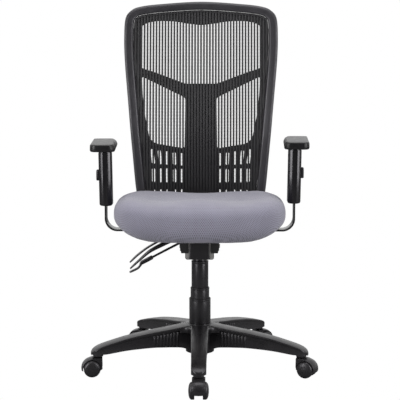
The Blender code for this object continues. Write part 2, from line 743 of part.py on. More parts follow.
def make_sleeve(side, sign, lift):
    """The sleeve leans outward a little round its upright channel."""
    top = PAD_TOP - PAD_THICKNESS - 0.0005 + lift
    bottom = SLEEVE_BOTTOM + lift
    half_x, half_y = SLEEVE_HALF
    rings = []
    for z, shrink in ((bottom, 0.004), (bottom + 0.004, 0.0), (top, 0.0)):
        share = (z - bottom) / (top - bottom)
        shift = SLEEVE_SHIFT[0] + (SLEEVE_SHIFT[1] - SLEEVE_SHIFT[0]) * share
        outline = rounded_rectangle(half_x - shrink, half_y - shrink, 0.012 - shrink / 2, 3,
                                    (sign * (ARM_X + shift), 0.0))
        rings.append([(x, y, z) for x, y in outline])
    sleeve = loft(f"arm_sleeve_{side}", rings, GLOSS)
    channel = block(
        f"sleeve_channel_{side}",
        (sign * ARM_X - 0.0037, -ARM_BAR_DEPTH / 2 - 0.001, bottom - 0.01),
        (sign * ARM_X + 0.0037, ARM_BAR_DEPTH / 2 + 0.001, top - 0.004), None)
    x_low, x_high = sorted((sign * (ARM_X + 0.0105), sign * (ARM_X + 0.030)))
    pocket = block(f"sleeve_pocket_{side}", (x_low, -0.0125, BUTTON_Z - 0.0175 + lift),
                   (x_high, 0.0125, BUTTON_Z + 0.0175 + lift), None)
    cut(sleeve, [channel, pocket])


def make_arm_button(side, sign, lift):
    outline = rounded_rectangle(0.0115, 0.0165, 0.006, 3, (0.0, BUTTON_Z + lift))
    x_low, x_high = sorted((sign * (ARM_X + 0.0160), sign * (ARM_X + 0.0280)))
    prism(f"arm_button_{side}", outline, x_low, x_high, GLOSS, "X")


def toed_in(outline, sign):
    """Turn a pad's plan, drawn round the origin, by its toe-in and move it to its place."""
    turn = Matrix.Rotation(math.radians(-sign * PAD_TOE_IN), 2)
    centre = Vector((sign * PAD_CENTRE[0], PAD_CENTRE[1]))
    return [tuple(turn @ Vector(point) + centre) for point in outline]


def make_arm_pad(side, sign, lift):
    top = PAD_TOP + lift
    bottom = top - PAD_THICKNESS
    half_x, half_y = PAD_HALF
    rows = ((bottom, 0.006), (bottom + 0.007, 0.0), (top - 0.006, 0.0), (top - 0.0015, 0.003), (top, 0.008))
    rings = []
    for z, shrink in rows:
        outline = rounded_rectangle(half_x - shrink, half_y - shrink, 0.018 - shrink / 2, 4)
        rings.append([(x, y, z) for x, y in toed_in(outline, sign)])
    pad = loft(f"arm_pad_{side}", rings, SOFT_PAD)
    pocket = prism(f"pad_pocket_{side}", toed_in(rounded_rectangle(0.0255, 0.1025, 0.008, 2), sign),
                   bottom - 0.01, bottom + 0.0070, None)
    cut(pad, [pocket])
    prism(f"arm_pad_plate_{side}", toed_in(rounded_rectangle(0.0250, 0.1020, 0.008, 2), sign),
          bottom + GAP - 0.0002, bottom + 0.0067, NYLON)


# ------------------------------------------------------------------- the back

LUMBAR_Z = 0.700                  # height of the back's bend
LUMBAR_Y = 0.2185
LEAN_BELOW, LEAN_ABOVE = -0.060, 0.235   # slopes dy/dz away from the bend
LUMBAR_ROUNDING = 0.008
CUP_LOW, CUP_HIGH = 0.030, 0.016  # depth of the hollow from side to side
BACK_HALF_OUTLINE = [
    (0.000, 0.452), (0.150, 0.455), (0.196, 0.478), (0.2085, 0.516), (0.2205, 0.650),
    (0.2335, 0.800), (0.2455, 0.937), (0.2480, 1.017), (0.2440, 1.071), (0.2265, 1.0955),
    (0.1980, 1.108), (0.133, 1.1165), (0.000, 1.1245),
]


def back_depth(x, z):
    """Y of the back's front surface: a hyperbola in side view, cupped from side to side."""
    rise = z - LUMBAR_Z
    lean = (LEAN_ABOVE + LEAN_BELOW) / 2 * rise
    bend = math.hypot((LEAN_ABOVE - LEAN_BELOW) / 2 * rise, LUMBAR_ROUNDING)
    cup = CUP_LOW + (CUP_HIGH - CUP_LOW) * smooth_step(rise / 0.45)
    return LUMBAR_Y + lean + bend + cup * (1 - (x / 0.24) ** 2)


def closed_back_outline(samples):
    """The rim's outer edge as evenly spaced (x, z) points, anticlockwise from bottom centre."""
    right = catmull_rom([Vector(p) for p in BACK_HALF_OUTLINE], 12)
    left = [Vector((-p.x, p.y)) for p in reversed(right[1:-1])]
    loop = right + left
    lengths = [0.0]
    for a, b in zip(loop, loop[1:] + loop[:1]):
        lengths.append(lengths[-1] + (b - a).length)
    points, k = [], 0
    for i in range(samples):
        target = lengths[-1] * i / samples
        while lengths[k + 1] < target:
            k += 1
        share = (target - lengths[k]) / (lengths[k + 1] - lengths[k])
        points.append(loop[k].lerp(loop[(k + 1) % len(loop)], share))
    return points


def inward_normals(points):
    normals = []
    for i in range(len(points)):
        tangent = (points[(i + 1) % len(points)] - points[i - 1]).normalized()
        normals.append(Vector((-tangent.y, tangent.x)))
    return normals


def rim_width(normal):
    """The rim is wider along its sides than along its top and bottom."""
    return RIM_TOP_WIDTH + (RIM_SIDE_WIDTH - RIM_TOP_WIDTH) * abs(normal.x)


def offset_outline(extra, every=2):
    """The rim's inner edge, moved `extra` further in; `every` skips samples."""
    points = closed_back_outline(RIM_SAMPLES)
    inner = [p + n * (rim_width(n) + extra) for p, n in zip(points, inward_normals(points))]
    return inner[::every]


def on_back(point, depth):
    return (point.x, back_depth(point.x, point.y) + depth, point.y)


def make_rim():
    points = closed_back_outline(RIM_SAMPLES)
    rings = []
    for p, n in zip(points, inward_normals(points)):
        width = rim_width(n)
        profile = [(0.0, 0.008), (0.005, 0.001), (0.012, 0.0), (width - 0.003, 0.0015),
                   (width, 0.004), (width, 0.024), (0.006, RIM_THICKNESS), (0.0, 0.019)]
        rings.append([on_back(p + n * inward, depth) for inward, depth in profile])
    loft("back_rim", rings, NYLON, closed_path=True)


def make_mesh():
    edge = offset_outline(PLATE_GAP)
    centre = Vector((0.0, 0.79))
    shares = (1.0, 0.66, 0.3)
    front = [[on_back(centre.lerp(p, s), MESH_DEPTH) for p in edge] for s in shares]
    rear = [[on_back(centre.lerp(p, s), MESH_DEPTH + MESH_THICKNESS) for p in edge] for s in shares]
    loft("back_mesh", list(reversed(front)) + rear, NETTING)


def make_spline():
    outer = offset_outline(PLATE_GAP)
    inner = offset_outline(PLATE_GAP + 0.006)
    front, rear = SPLINE_DEPTH
    rings = [
        [on_back(a, front), on_back(b, front), on_back(b, rear), on_back(a, rear)]
        for a, b in zip(outer, inner)
    ]
    loft("mesh_spline", rings, NYLON, closed_path=True)


def carrier_windows():
    """Outlines in (x, z) of the openings in the carrier behind the mesh."""
    half_top = [(0.0, 1.0490), (0.045, 1.0545), (0.080, 1.0600), (0.115, 1.0615), (0.150, 1.0600),
                (0.178, 1.0540), (0.193, 1.0430)]
    upper = half_top + [(0.193, 0.9115), (0.150, 0.8980), (0.052, 0.8610)]
    upper += [(-x, z) for x, z in reversed(upper) if x > 0]
    lower = [(0.0505, 0.8155), (0.0530, 0.6525), (0.104, 0.6617), (0.151, 0.6703), (0.1655, 0.6900),
             (0.175, 0.7330), (0.182, 0.7700), (0.188, 0.8250), (0.191, 0.8840)]
    mirrored = [(-x, z) for x, z in reversed(lower)]
    return [upper, lower, mirrored]


def slot_outline(x, low, high, lean):
    """An upright slot with round ends; `lean` moves its top sideways."""
    radius = 0.0050
    top = arc((x + lean, high - radius), radius, 0, 180, 3)
    bottom = arc((x, low + radius), radius, 180, 360, 3)
    return top + bottom


def carrier_slots():
    columns = (0.0617, 0.0855, 0.1095, 0.1315, 0.1535)
    slots = []
    for sign in (-1, 1):
        for i, x in enumerate(columns):
            slots.append(slot_outline(sign * x, 0.5965 + 0.0016 * i, 0.6375 + 0.0034 * i, sign * 0.0011 * i))
            slots.append(slot_outline(sign * x, 0.5405 + 0.0006 * i, 0.5860 + 0.0008 * i, 0.0))
            slots.append(slot_outline(sign * x * 0.99, 0.4880, 0.5220, 0.0))
    return slots


def make_carrier():
    """The moulded frame behind the mesh, with its thicker spine."""
    front, rear = CARRIER_DEPTH
    columns, rows = 10, 17
    low, high = 0.44, 1.13
    rings = []
    for r in range(rows + 1):
        z = low + (high - low) * r / rows
        xs = [-0.25 + 0.5 * c / columns for c in range(columns + 1)]
        ring = [(x, back_depth(x, z) + front, z) for x in xs]
        ring += [(x, back_depth(x, z) + rear, z) for x in reversed(xs)]
        rings.append(ring)
    carrier = loft("back_carrier", rings, NYLON)
    edge = [(p.x, p.y) for p in offset_outline(PLATE_GAP)]
    outline = prism("carrier_outline", edge, 0.1, 0.5, None, "Y")
    boolean(carrier, [outline], "INTERSECT")
    openings = [prism(f"carrier_window_{i}", shape, 0.1, 0.5, None, "Y")
                for i, shape in enumerate(carrier_windows())]
    openings += [prism(f"carrier_slot_{i}", shape, 0.1, 0.5, None, "Y")
                 for i, shape in enumerate(carrier_slots())]
    cut(carrier, openings)
    spine = []
    for z in (0.492, 0.56, 0.64, 0.74, 0.82, 0.845):
        y = back_depth(0.0, z)
        half = SPINE_HALF_WIDTH - 0.004
        spine.append([(-half, y + front + 0.006, z), (half, y + front + 0.006, z),
                      (half - 0.006, y + SPINE_REAR, z), (-half + 0.006, y + SPINE_REAR, z)])
    join(carrier, [loft("carrier_spine", spine, None)])


def main():
    make_base()
    for name, angle, heading in zip(CASTER_NAMES, leg_angles(), CASTER_HEADINGS):
        make_caster(name, angle, heading)
    make_gas_lift()
    make_covers()
    make_housing()
    make_shafts()
    make_recline_spring()
    make_seat_plate()
    make_back_bracket()
    make_levers()
    make_cushion()
    make_board()
    make_arm("left", -1, 0.0)
    make_arm("right", 1, ARM_NOTCH)
    make_rim()
    make_mesh()
    make_spline()
    make_carrier()


clear_scene()
main()
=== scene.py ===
import math

import bmesh
import bpy
import numpy as np
from mathutils import Matrix, Vector


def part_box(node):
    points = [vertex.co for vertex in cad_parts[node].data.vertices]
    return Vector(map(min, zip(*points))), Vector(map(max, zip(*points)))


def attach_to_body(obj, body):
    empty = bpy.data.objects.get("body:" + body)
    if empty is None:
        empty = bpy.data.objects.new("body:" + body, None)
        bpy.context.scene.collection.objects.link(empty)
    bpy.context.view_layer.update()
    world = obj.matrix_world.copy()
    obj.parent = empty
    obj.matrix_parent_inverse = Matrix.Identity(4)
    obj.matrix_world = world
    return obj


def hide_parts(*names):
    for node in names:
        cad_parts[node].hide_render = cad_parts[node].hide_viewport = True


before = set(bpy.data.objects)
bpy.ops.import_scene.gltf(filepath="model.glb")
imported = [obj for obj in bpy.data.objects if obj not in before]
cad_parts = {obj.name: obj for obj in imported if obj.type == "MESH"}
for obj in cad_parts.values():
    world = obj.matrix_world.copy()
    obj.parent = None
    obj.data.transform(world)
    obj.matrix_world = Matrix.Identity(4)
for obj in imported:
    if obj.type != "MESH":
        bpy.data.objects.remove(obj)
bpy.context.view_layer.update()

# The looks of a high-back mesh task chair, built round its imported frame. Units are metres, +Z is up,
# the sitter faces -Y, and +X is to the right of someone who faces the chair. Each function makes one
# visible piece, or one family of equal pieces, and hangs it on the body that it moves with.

# ------------------------------------------------------------------ driving sizes

CAMERA_AT = (0.041, -3.61, 0.997)
CAMERA_LOOKS = (-0.0112, 0.9913, -0.1310)
CAMERA_LENS = 108.1
FLOOR_ALBEDO = 0.24
BEVEL_SEGMENTS = 3

STEM_CIRCLE = 0.320
LEG_COUNT = 5
FIRST_LEG = -90.0
LEG_END_RADIUS = 0.022
LEG_ROLL_START, LEG_ROLL_DROP = 0.300, 0.0125
LEG_WALL = 0.0035
FLANK_RIB_RADII = [0.078 + 0.0104 * k for k in range(8)]

CASTER_NAMES = ("front", "right", "rear_right", "rear_left", "left")
CASTER_HEADINGS = (-90.0, -27.0, 35.0, 160.0, 189.0)
CASTER_TRAIL = 0.0195
WHEEL_RADIUS = 0.025
WHEEL_INNER_FACE = 0.012
WHEEL_OUTER_FACE = 0.029
HOOD_HALF_WIDTH = 0.019
HOOD_TOP = 0.060

SEAT_SQUARENESS = 3.0
SEAT_SIDE_Z = 0.486
TOP_EDGE, UNDER_EDGE, LIP_EDGE = (16.0, 0.37), (10.0, 0.45), (6.5, 0.38)
BOARD_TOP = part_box("seat_board")[1].z
BOARD_SHARE = 0.83
SEAT_CROWN_Z = 0.517
UNDER_Z, LIP_DROP = 0.4340, 0.0260
COVER_RING_POINTS = 144
BOARD_EDGE_SHARES = [0.845, 0.862]

LUMBAR_Z, LUMBAR_Y, LUMBAR_ROUNDING = 0.700, 0.2185, 0.008
LEAN_BELOW, LEAN_ABOVE = -0.060, 0.235
CUP_LOW, CUP_HIGH = 0.030, 0.016
RIM_SIDE_WIDTH, RIM_TOP_WIDTH, RIM_THICKNESS = 0.029, 0.026, 0.026
RIM_SAMPLES = 320
CARRIER_DEPTH = (0.0140, 0.0245)
SPINE_REAR = 0.0345
MESH_DEPTH = 0.0066

PAD_TOE_IN = 2.6
PAD_HALF = (0.037, 0.125)
SLEEVE_HALF = (0.0198, 0.030)
SLEEVE_SHIFT = (-0.0012, 0.0012)
ARM_BEND = 0.036

# ------------------------------------------------------------------ shape tools


def arc(centre, radius, start, end, steps):
    """Points along an arc in a plane, angles in degrees."""
    angles = [math.radians(start + (end - start) * i / steps) for i in range(steps + 1)]
    return [(centre[0] + radius * math.cos(a), centre[1] + radius * math.sin(a)) for a in angles]


def rounded(points, radius, steps=4, closed=True):
    """The polyline with each corner swapped for a smooth turn that starts `radius` away from it."""
    count, result = len(points), []
    for i, point in enumerate(points):
        corner = Vector(point)
        if not closed and i in (0, count - 1):
            result.append(corner)
            continue
        before = Vector(points[i - 1]) - corner
        after = Vector(points[(i + 1) % count]) - corner
        start = corner + before.normalized() * min(radius, before.length * 0.49)
        end = corner + after.normalized() * min(radius, after.length * 0.49)
        for k in range(steps + 1):
            t = k / steps
            result.append(start * (1 - t) ** 2 + corner * 2 * t * (1 - t) + end * t**2)
    return [tuple(p) for p in result]


def rounded_rectangle(half_x, half_y, radius, steps=5, centre=(0.0, 0.0)):
    points = []
    for sx, sy, start in ((1, 1, 0), (-1, 1, 90), (-1, -1, 180), (1, -1, 270)):
        middle = (centre[0] + sx * (half_x - radius), centre[1] + sy * (half_y - radius))
        points += arc(middle, radius, start, start + 90, steps)
    return points


def spline(points, per_span):
    """An open Catmull-Rom curve through points of any dimension, ends included."""
    rows = np.array(points, float)
    path = np.vstack([2 * rows[0] - rows[1], rows, 2 * rows[-1] - rows[-2]])
    curve = []
    for a, b, c, d in zip(path, path[1:], path[2:], path[3:]):
        for i in range(per_span):
            t = i / per_span
            curve.append(0.5 * (2 * b + (c - a) * t + (2 * a - 5 * b + 4 * c - d) * t**2
                                + (3 * b - a - 3 * c + d) * t**3))
    return curve + [rows[-1]]


def smooth_step(value):
    value = min(max(value, 0.0), 1.0)
    return value * value * (3 - 2 * value)


def signed_power(value, power):
    """The value's size raised to a power, with its sign kept."""
    return math.copysign(abs(value) ** power, value)


def across_path(points, i):
    """The unit normal of a plane path at one of its points."""
    before, after = Vector(points[max(i - 1, 0)][:2]), Vector(points[min(i + 1, len(points) - 1)][:2])
    tangent = (after - before).normalized()
    return Vector((tangent.y, -tangent.x))


def turned(degrees):
    """A turn about Z."""
    return Matrix.Rotation(math.radians(degrees), 4, "Z")


def skin(bm, rings, closed_path=False, caps=True, matrix=None):
    """Skin a row of equally long point rings into a tube."""
    place = (lambda p: matrix @ Vector(p)) if matrix is not None else Vector
    loops = [[bm.verts.new(place(point)) for point in ring] for ring in rings]
    pairs = list(zip(loops, loops[1:]))
    if closed_path:
        pairs.append((loops[-1], loops[0]))
    for low, high in pairs:
        count = len(low)
        for i in range(count):
            j = (i + 1) % count
            bm.faces.new((low[i], low[j], high[j], high[i]))
    if caps and not closed_path:
        bm.faces.new(reversed(loops[0]))
        bm.faces.new(loops[-1])


def lathe(bm, profile, sides=64, ring=True, matrix=None):
    """Turn (radius, height) points about Z. A ring's profile closes on itself."""
    angles = [2 * math.pi * i / sides for i in range(sides)]
    rings = [[(r * math.cos(a), r * math.sin(a), h) for a in angles] for r, h in profile]
    skin(bm, rings, closed_path=ring, caps=not ring, matrix=matrix)


def prism(bm, outline, low, high, axis="Z", matrix=None):
    """Extrude a flat outline. Axis Z takes (x, y), Y takes (x, z) and X takes (y, z)."""
    place = {"Z": lambda a, b, c: (a, b, c), "Y": lambda a, b, c: (a, c, b),
             "X": lambda a, b, c: (c, a, b)}[axis]
    skin(bm, [[place(a, b, level) for a, b in outline] for level in (low, high)], matrix=matrix)


def block(bm, low, high, matrix=None):
    outline = [(low[0], low[1]), (high[0], low[1]), (high[0], high[1]), (low[0], high[1])]
    prism(bm, outline, low[2], high[2], matrix=matrix)


def facing(point, direction):
    """A frame whose Z axis looks along the direction, at the point."""
    turn = Vector(direction).to_track_quat("Z", "Y").to_matrix().to_4x4()
    return Matrix.Translation(point) @ turn


def bolt(bm, point, direction, radius=0.006, height=0.0038, socket=0.0028):
    """A pan head with a hexagonal socket."""
    sides = 24
    hexagon = [socket / math.cos(math.radians(360 * i / sides % 60 - 30)) for i in range(sides)]
    rows = [([socket * 0.3] * sides, height - 0.0022), (hexagon, height - 0.0020), (hexagon, height),
            ([radius - 0.0012] * sides, height), ([radius - 0.0003] * sides, height - 0.0007),
            ([radius] * sides, height - 0.0017), ([radius] * sides, -0.0005)]
    rings = []
    for radii, level in rows:
        rings.append([(r * math.cos(math.tau * i / sides), r * math.sin(math.tau * i / sides), level)
                      for i, r in enumerate(radii)])
    skin(bm, rings, matrix=facing(point, direction))


def piece(name, bm, material, body, replaces=(), bevel=0.0, sharp=35):
    """Turn a bmesh into a finished piece that rides on a body."""
    bmesh.ops.recalc_face_normals(bm, faces=bm.faces)
    mesh = bpy.data.meshes.new(name)
    bm.to_mesh(mesh)
    bm.free()
    mesh.shade_smooth()
    mesh.set_sharp_from_angle(angle=math.radians(sharp))
    mesh.materials.append(material)
    thing = bpy.data.objects.new(name, mesh)
    bpy.context.scene.collection.objects.link(thing)
    if bevel:
        modifier = thing.modifiers.new("Bevel", "BEVEL")
        modifier.width = bevel
        modifier.segments = BEVEL_SEGMENTS
        modifier.limit_method = "ANGLE"
        modifier.angle_limit = math.radians(sharp)
        modifier.harden_normals = True
    return attach(thing, body, replaces)


def attach(thing, body, replaces=()):
    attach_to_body(thing, body)
    if replaces:
        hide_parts(*([replaces] if isinstance(replaces, str) else replaces))
    return thing


# -------------------------------------------------------------------- materials


class Shader:
    """A Principled material with a few chained helpers for its procedural detail."""

    def __init__(self, name, colour, roughness, metallic=0.0, specular=0.5):
        self.material = bpy.data.materials.new(name)
        self.material.use_nodes = True
        self.nodes = self.material.node_tree.nodes
        self.links = self.material.node_tree.links
        self.body = self.nodes["Principled BSDF"]
        self.body.inputs["Base Color"].default_value = (*colour, 1.0)
        self.body.inputs["Roughness"].default_value = roughness
        self.body.inputs["Metallic"].default_value = metallic
        self.body.inputs["Specular IOR Level"].default_value = specular
        self.height = None

    def node(self, kind, **values):
        made = self.nodes.new(kind)
        for key, value in values.items():
            if key in made.inputs:
                made.inputs[key].default_value = value
            else:
                setattr(made, key.lower(), value)
        return made

    def coordinates(self, source="Object", scale=(1.0, 1.0, 1.0)):
        if source == "Object":
            start = self.nodes.new("ShaderNodeTexCoord").outputs["Object"]
        else:
            attribute = self.nodes.new("ShaderNodeAttribute")
            attribute.attribute_name = source
            start = attribute.outputs["Vector"]
        mapping = self.node("ShaderNodeMapping", Scale=scale)
        self.links.new(start, mapping.inputs["Vector"])
        return mapping.outputs["Vector"]

    def noise(self, scale, detail=2.0, stretch=(1.0, 1.0, 1.0), source="Object"):
        made = self.node("ShaderNodeTexNoise", Scale=scale, Detail=detail)
        self.links.new(self.coordinates(source, stretch), made.inputs["Vector"])
        return made.outputs["Fac"]

    def cells(self, scale, feature="F1", randomness=1.0):
        made = self.node("ShaderNodeTexVoronoi", Scale=scale, Randomness=randomness)
        made.feature = feature
        self.links.new(self.coordinates(), made.inputs["Vector"])
        return made.outputs["Distance"]

    def calculate(self, operation, first, second=None, clamp=False):
        made = self.node("ShaderNodeMath", operation=operation)
        made.use_clamp = clamp
        for socket, value in zip(made.inputs, (first, second)):
            if isinstance(value, (int, float)):
                socket.default_value = value
            elif value is not None:
                self.links.new(value, socket)
        return made.outputs["Value"]

    def remap(self, value, low, high, new_low=0.0, new_high=1.0):
        made = self.node("ShaderNodeMapRange")
        limits = zip(("From Min", "From Max", "To Min", "To Max"), (low, high, new_low, new_high))
        for name, number in limits:
            made.inputs[name].default_value = number
        self.links.new(value, made.inputs["Value"])
        return made.outputs["Result"]

    def mix(self, factor, first, second):
        """A colour between two: a socket, or three numbers."""
        made = self.nodes.new("ShaderNodeMix")
        made.data_type = "RGBA"
        self.links.new(factor, made.inputs["Factor"])
        for name, colour in (("A", first), ("B", second)):
            socket = next(s for s in made.inputs if s.name == name and s.type == "RGBA")
            if isinstance(colour, tuple):
                socket.default_value = (*colour, 1.0)
            else:
                self.links.new(colour, socket)
        return next(s for s in made.outputs if s.type == "RGBA")

    def tint(self, colour):
        self.links.new(colour, self.body.inputs["Base Color"])

    def rough(self, value):
        self.links.new(value, self.body.inputs["Roughness"])

    def bump(self, value, distance, strength=1.0):
        made = self.node("ShaderNodeBump", Strength=strength, Distance=distance)
        self.links.new(value, made.inputs["Height"])
        if self.height is not None:
            self.links.new(self.height, made.inputs["Normal"])
        self.height = made.outputs["Normal"]
        self.links.new(self.height, self.body.inputs["Normal"])

    def edge_highlight(self):
        """The mask for a painted edge highlight: 0 on flat and hollow places, 1 along a sharp edge."""
        pointiness = self.nodes.new("ShaderNodeNewGeometry").outputs["Pointiness"]
        return self.remap(pointiness, 0.52, 0.60)


def shade(colour, factor):
    return tuple(c * factor for c in colour)


def moulded(name, colour, roughness, grain=900.0, depth=0.00006, specular=0.5):
    """Moulded plastic with a spark-eroded grain, faint clouding and a painted highlight along its sharp
    edges.
    """
    s = Shader(name, colour, roughness, specular=specular)
    s.body.inputs["Specular Tint"].default_value = (0.97, 0.95, 1.0, 1.0)
    clouds = s.noise(9.0, 3.0)
    body = s.mix(s.remap(clouds, 0.35, 0.7), shade(colour, 0.82), shade(colour, 1.18))
    # Sharp edges are painted lighter here: a painted highlight.
    s.tint(s.mix(s.edge_highlight(), body, shade(colour, 2.4)))
    s.rough(s.remap(s.noise(35.0, 4.0), 0.3, 0.7, roughness - 0.05, roughness + 0.06))
    s.bump(s.noise(grain, 2.0), depth)
    return s.material


def coated_steel(name, colour, roughness):
    """Powder coat with its faint orange peel."""
    s = Shader(name, colour, roughness, specular=0.6)
    # Sharp edges are painted lighter here: a painted highlight.
    s.tint(s.mix(s.edge_highlight(), colour, shade(colour, 2.0)))
    s.rough(s.remap(s.noise(18.0, 3.0), 0.3, 0.7, roughness - 0.04, roughness + 0.05))
    s.bump(s.noise(260.0, 2.0), 0.00008)
    return s.material


def ground_steel(name, colour, roughness, stretch):
    """Bare steel, with fine lines along one direction."""
    s = Shader(name, colour, roughness, metallic=1.0)
    lines = s.noise(900.0, 3.0, stretch)
    s.rough(s.remap(lines, 0.3, 0.7, roughness - 0.08, roughness + 0.1))
    s.tint(s.mix(s.noise(40.0, 3.0), shade(colour, 0.85), colour))
    s.bump(lines, 0.00002)
    return s.material


def knitted_cloth():
    """Spacer knit: rows of small eyelets set half a step apart, over fine yarn."""
    colour = (0.200, 0.194, 0.246)
    s = Shader("seat_fabric", colour, 0.93, specular=0.25)
    s.body.inputs["Sheen Weight"].default_value = 0.25
    s.body.inputs["Sheen Roughness"].default_value = 0.55
    across, down = 0.0066, 0.0085
    plan = s.nodes.new("ShaderNodeSeparateXYZ")
    s.links.new(s.coordinates("weave"), plan.inputs["Vector"])
    waves = []
    for axis, pitch in (("X", across), ("Y", down)):
        turned = s.calculate("MULTIPLY", plan.outputs[axis], math.tau / pitch)
        waves.append(s.calculate("COSINE", turned))
    eyelets = s.calculate("MULTIPLY", *waves)
    eyelets = s.remap(eyelets, 0.15, 0.85)
    yarn = s.noise(1500.0, 2.0)
    clouds = s.noise(14.0, 4.0)
    ground = s.mix(s.remap(clouds, 0.35, 0.65), shade(colour, 0.93), shade(colour, 1.07))
    ground = s.mix(s.remap(yarn, 0.3, 0.7), ground, shade(colour, 1.12))
    s.tint(s.mix(eyelets, ground, shade(colour, 0.28)))
    s.bump(s.calculate("SUBTRACT", 1.0, eyelets), 0.0007, 0.8)
    s.bump(yarn, 0.0002, 0.6)
    return s.material


def netting():
    """Black polyester cord with a slight twist."""
    colour = (0.014, 0.0135, 0.0150)
    s = Shader("back_mesh", colour, 0.6, specular=0.4)
    twist = s.noise(700.0, 2.0, (1.0, 1.0, 2.2))
    s.tint(s.mix(twist, shade(colour, 0.7), shade(colour, 1.5)))
    s.bump(twist, 0.0001)
    return s.material


def plywood():
    colour = (0.42, 0.29, 0.17)
    s = Shader("plywood", colour, 0.65)
    grain = s.noise(24.0, 6.0, (0.7, 9.0, 1.0))
    layers = s.noise(1.0, 0.0, (0.0, 0.0, 420.0))
    wood = s.mix(s.remap(grain, 0.3, 0.7), shade(colour, 0.72), shade(colour, 1.15))
    s.tint(s.mix(s.remap(layers, 0.45, 0.55, 0.0, 0.35), wood, shade(colour, 0.5)))
    s.bump(grain, 0.0002)
    return s.material


def urethane():
    """Self-skinned armrest foam with a fine leather grain."""
    colour = (0.0060, 0.0056, 0.0064)
    s = Shader("pad_urethane", colour, 0.34, specular=0.30)
    grain = s.cells(620.0, "DISTANCE_TO_EDGE")
    body = s.mix(s.remap(s.noise(16.0, 3.0), 0.3, 0.7), shade(colour, 0.9), shade(colour, 1.1))
    # Sharp edges are painted lighter here: a painted highlight.
    s.tint(s.mix(s.edge_highlight(), body, shade(colour, 1.35)))
    s.rough(s.remap(s.noise(60.0, 3.0), 0.3, 0.7, 0.30, 0.38))
    s.bump(s.remap(grain, 0.0, 0.25), 0.00005)
    return s.material


NYLON = moulded("nylon", (0.0078, 0.0073, 0.0080), 0.31, specular=0.42)
RIM_PLASTIC = moulded("rim_plastic", (0.0165, 0.0158, 0.0182), 0.38, grain=1100.0)
CARRIER_PLASTIC = moulded("carrier_plastic", (0.0036, 0.0034, 0.0042), 0.45)
GLOSS = moulded("gloss_plastic", (0.0036, 0.0034, 0.0042), 0.22, grain=500.0, depth=0.000006)
WHEEL = moulded("wheel_nylon", (0.0110, 0.0104, 0.0112), 0.36, specular=0.42)
BLACK_STEEL = coated_steel("black_steel", (0.0050, 0.0050, 0.0054), 0.20)
ZINC = ground_steel("zinc_steel", (0.62, 0.61, 0.60), 0.38, (1.0, 6.0, 1.0))
BARE_STEEL = ground_steel("bare_steel", (0.56, 0.56, 0.57), 0.26, (1.0, 1.0, 0.08))
FABRIC = knitted_cloth()
NETTING = netting()
PLYWOOD = plywood()
PAD = urethane()

# -------------------------------------------------------------------- the base


def leg_angles():
    return [FIRST_LEG + 360.0 / LEG_COUNT * i for i in range(LEG_COUNT)]


def leg_top(radius):
    """Height of a leg's top over its outer end, where it rolls down."""
    slope_top = 0.0990 - 0.28 * (radius - 0.290)
    rolled = max(radius - LEG_ROLL_START, 0.0) / (STEM_CIRCLE + LEG_END_RADIUS - LEG_ROLL_START)
    return slope_top - LEG_ROLL_DROP * (1 - math.sqrt(1 - rolled**2))


def leg_rows():
    """Rows of radius, top, flange line, underside, half widths of cap and flank, and the hollow's height."""
    table = [
        (0.028, 0.1400, 0.1300, 0.0560, 0.0268, 0.0222, 0.062),
        (0.060, 0.1365, 0.1275, 0.0700, 0.0265, 0.0220, 0.050),
        (0.090, 0.1325, 0.1240, 0.0738, 0.0261, 0.0218, 0.044),
        (0.120, 0.1288, 0.1200, 0.0757, 0.0256, 0.0216, 0.040),
        (0.160, 0.1240, 0.1160, 0.0772, 0.0249, 0.0214, 0.036),
        (0.230, 0.1128, 0.1060, 0.0750, 0.0234, 0.0213, 0.030),
        (0.286, 0.1000, 0.0938, 0.0693, 0.0222, 0.0214, 0.024),
    ]
    rows = [tuple(row) for row in spline(table, 6)]
    rows.append((0.2880, 0.0995, 0.0933, 0.0690, 0.0222, 0.0214, 0.0004))
    for radius in (0.300, 0.308, 0.314):
        rows.append((radius, leg_top(radius), leg_top(radius) - 0.0056, 0.0680, 0.0221, 0.0216, 0.0004))
    for turn in (0, 15, 30, 45, 58, 70, 79, 85):
        share = math.cos(math.radians(turn))
        radius = STEM_CIRCLE + LEG_END_RADIUS * math.sin(math.radians(turn))
        width, top = LEG_END_RADIUS * share, leg_top(radius)
        rows.append((radius, top, top - 0.0052, 0.0672, width, width - 0.0002, 0.0004))
    return rows


def leg_section(radius, top, flange, bottom, half_top, half_flank, hollow):
    """An inverted U: a flat cap with rounded edges over two flanks, and the hollow between them."""
    lip = max(half_top - half_flank, 0.0)
    outer = [(half_flank, bottom), (half_flank, flange - 0.0030 - lip * 0.6), (half_flank, flange - 0.0022),
             (half_top - lip * 0.25, flange - 0.0010), (half_top, flange + 0.0002)]
    corner = min(0.0030, half_top * 0.6)
    outer += arc((half_top - corner, top - corner - 0.0005), corner, 0, 80, 6)
    ring = outer + [(0.0, top)] + [(-u, z) for u, z in reversed(outer)]
    wall = min(LEG_WALL, half_flank * 0.4)
    inner_half, roof = half_flank - wall, bottom + hollow
    ring += [(-inner_half, bottom), (-inner_half + 0.001, roof), (inner_half - 0.001, roof),
             (inner_half, bottom)]
    return [(radius, u, z) for u, z in ring]


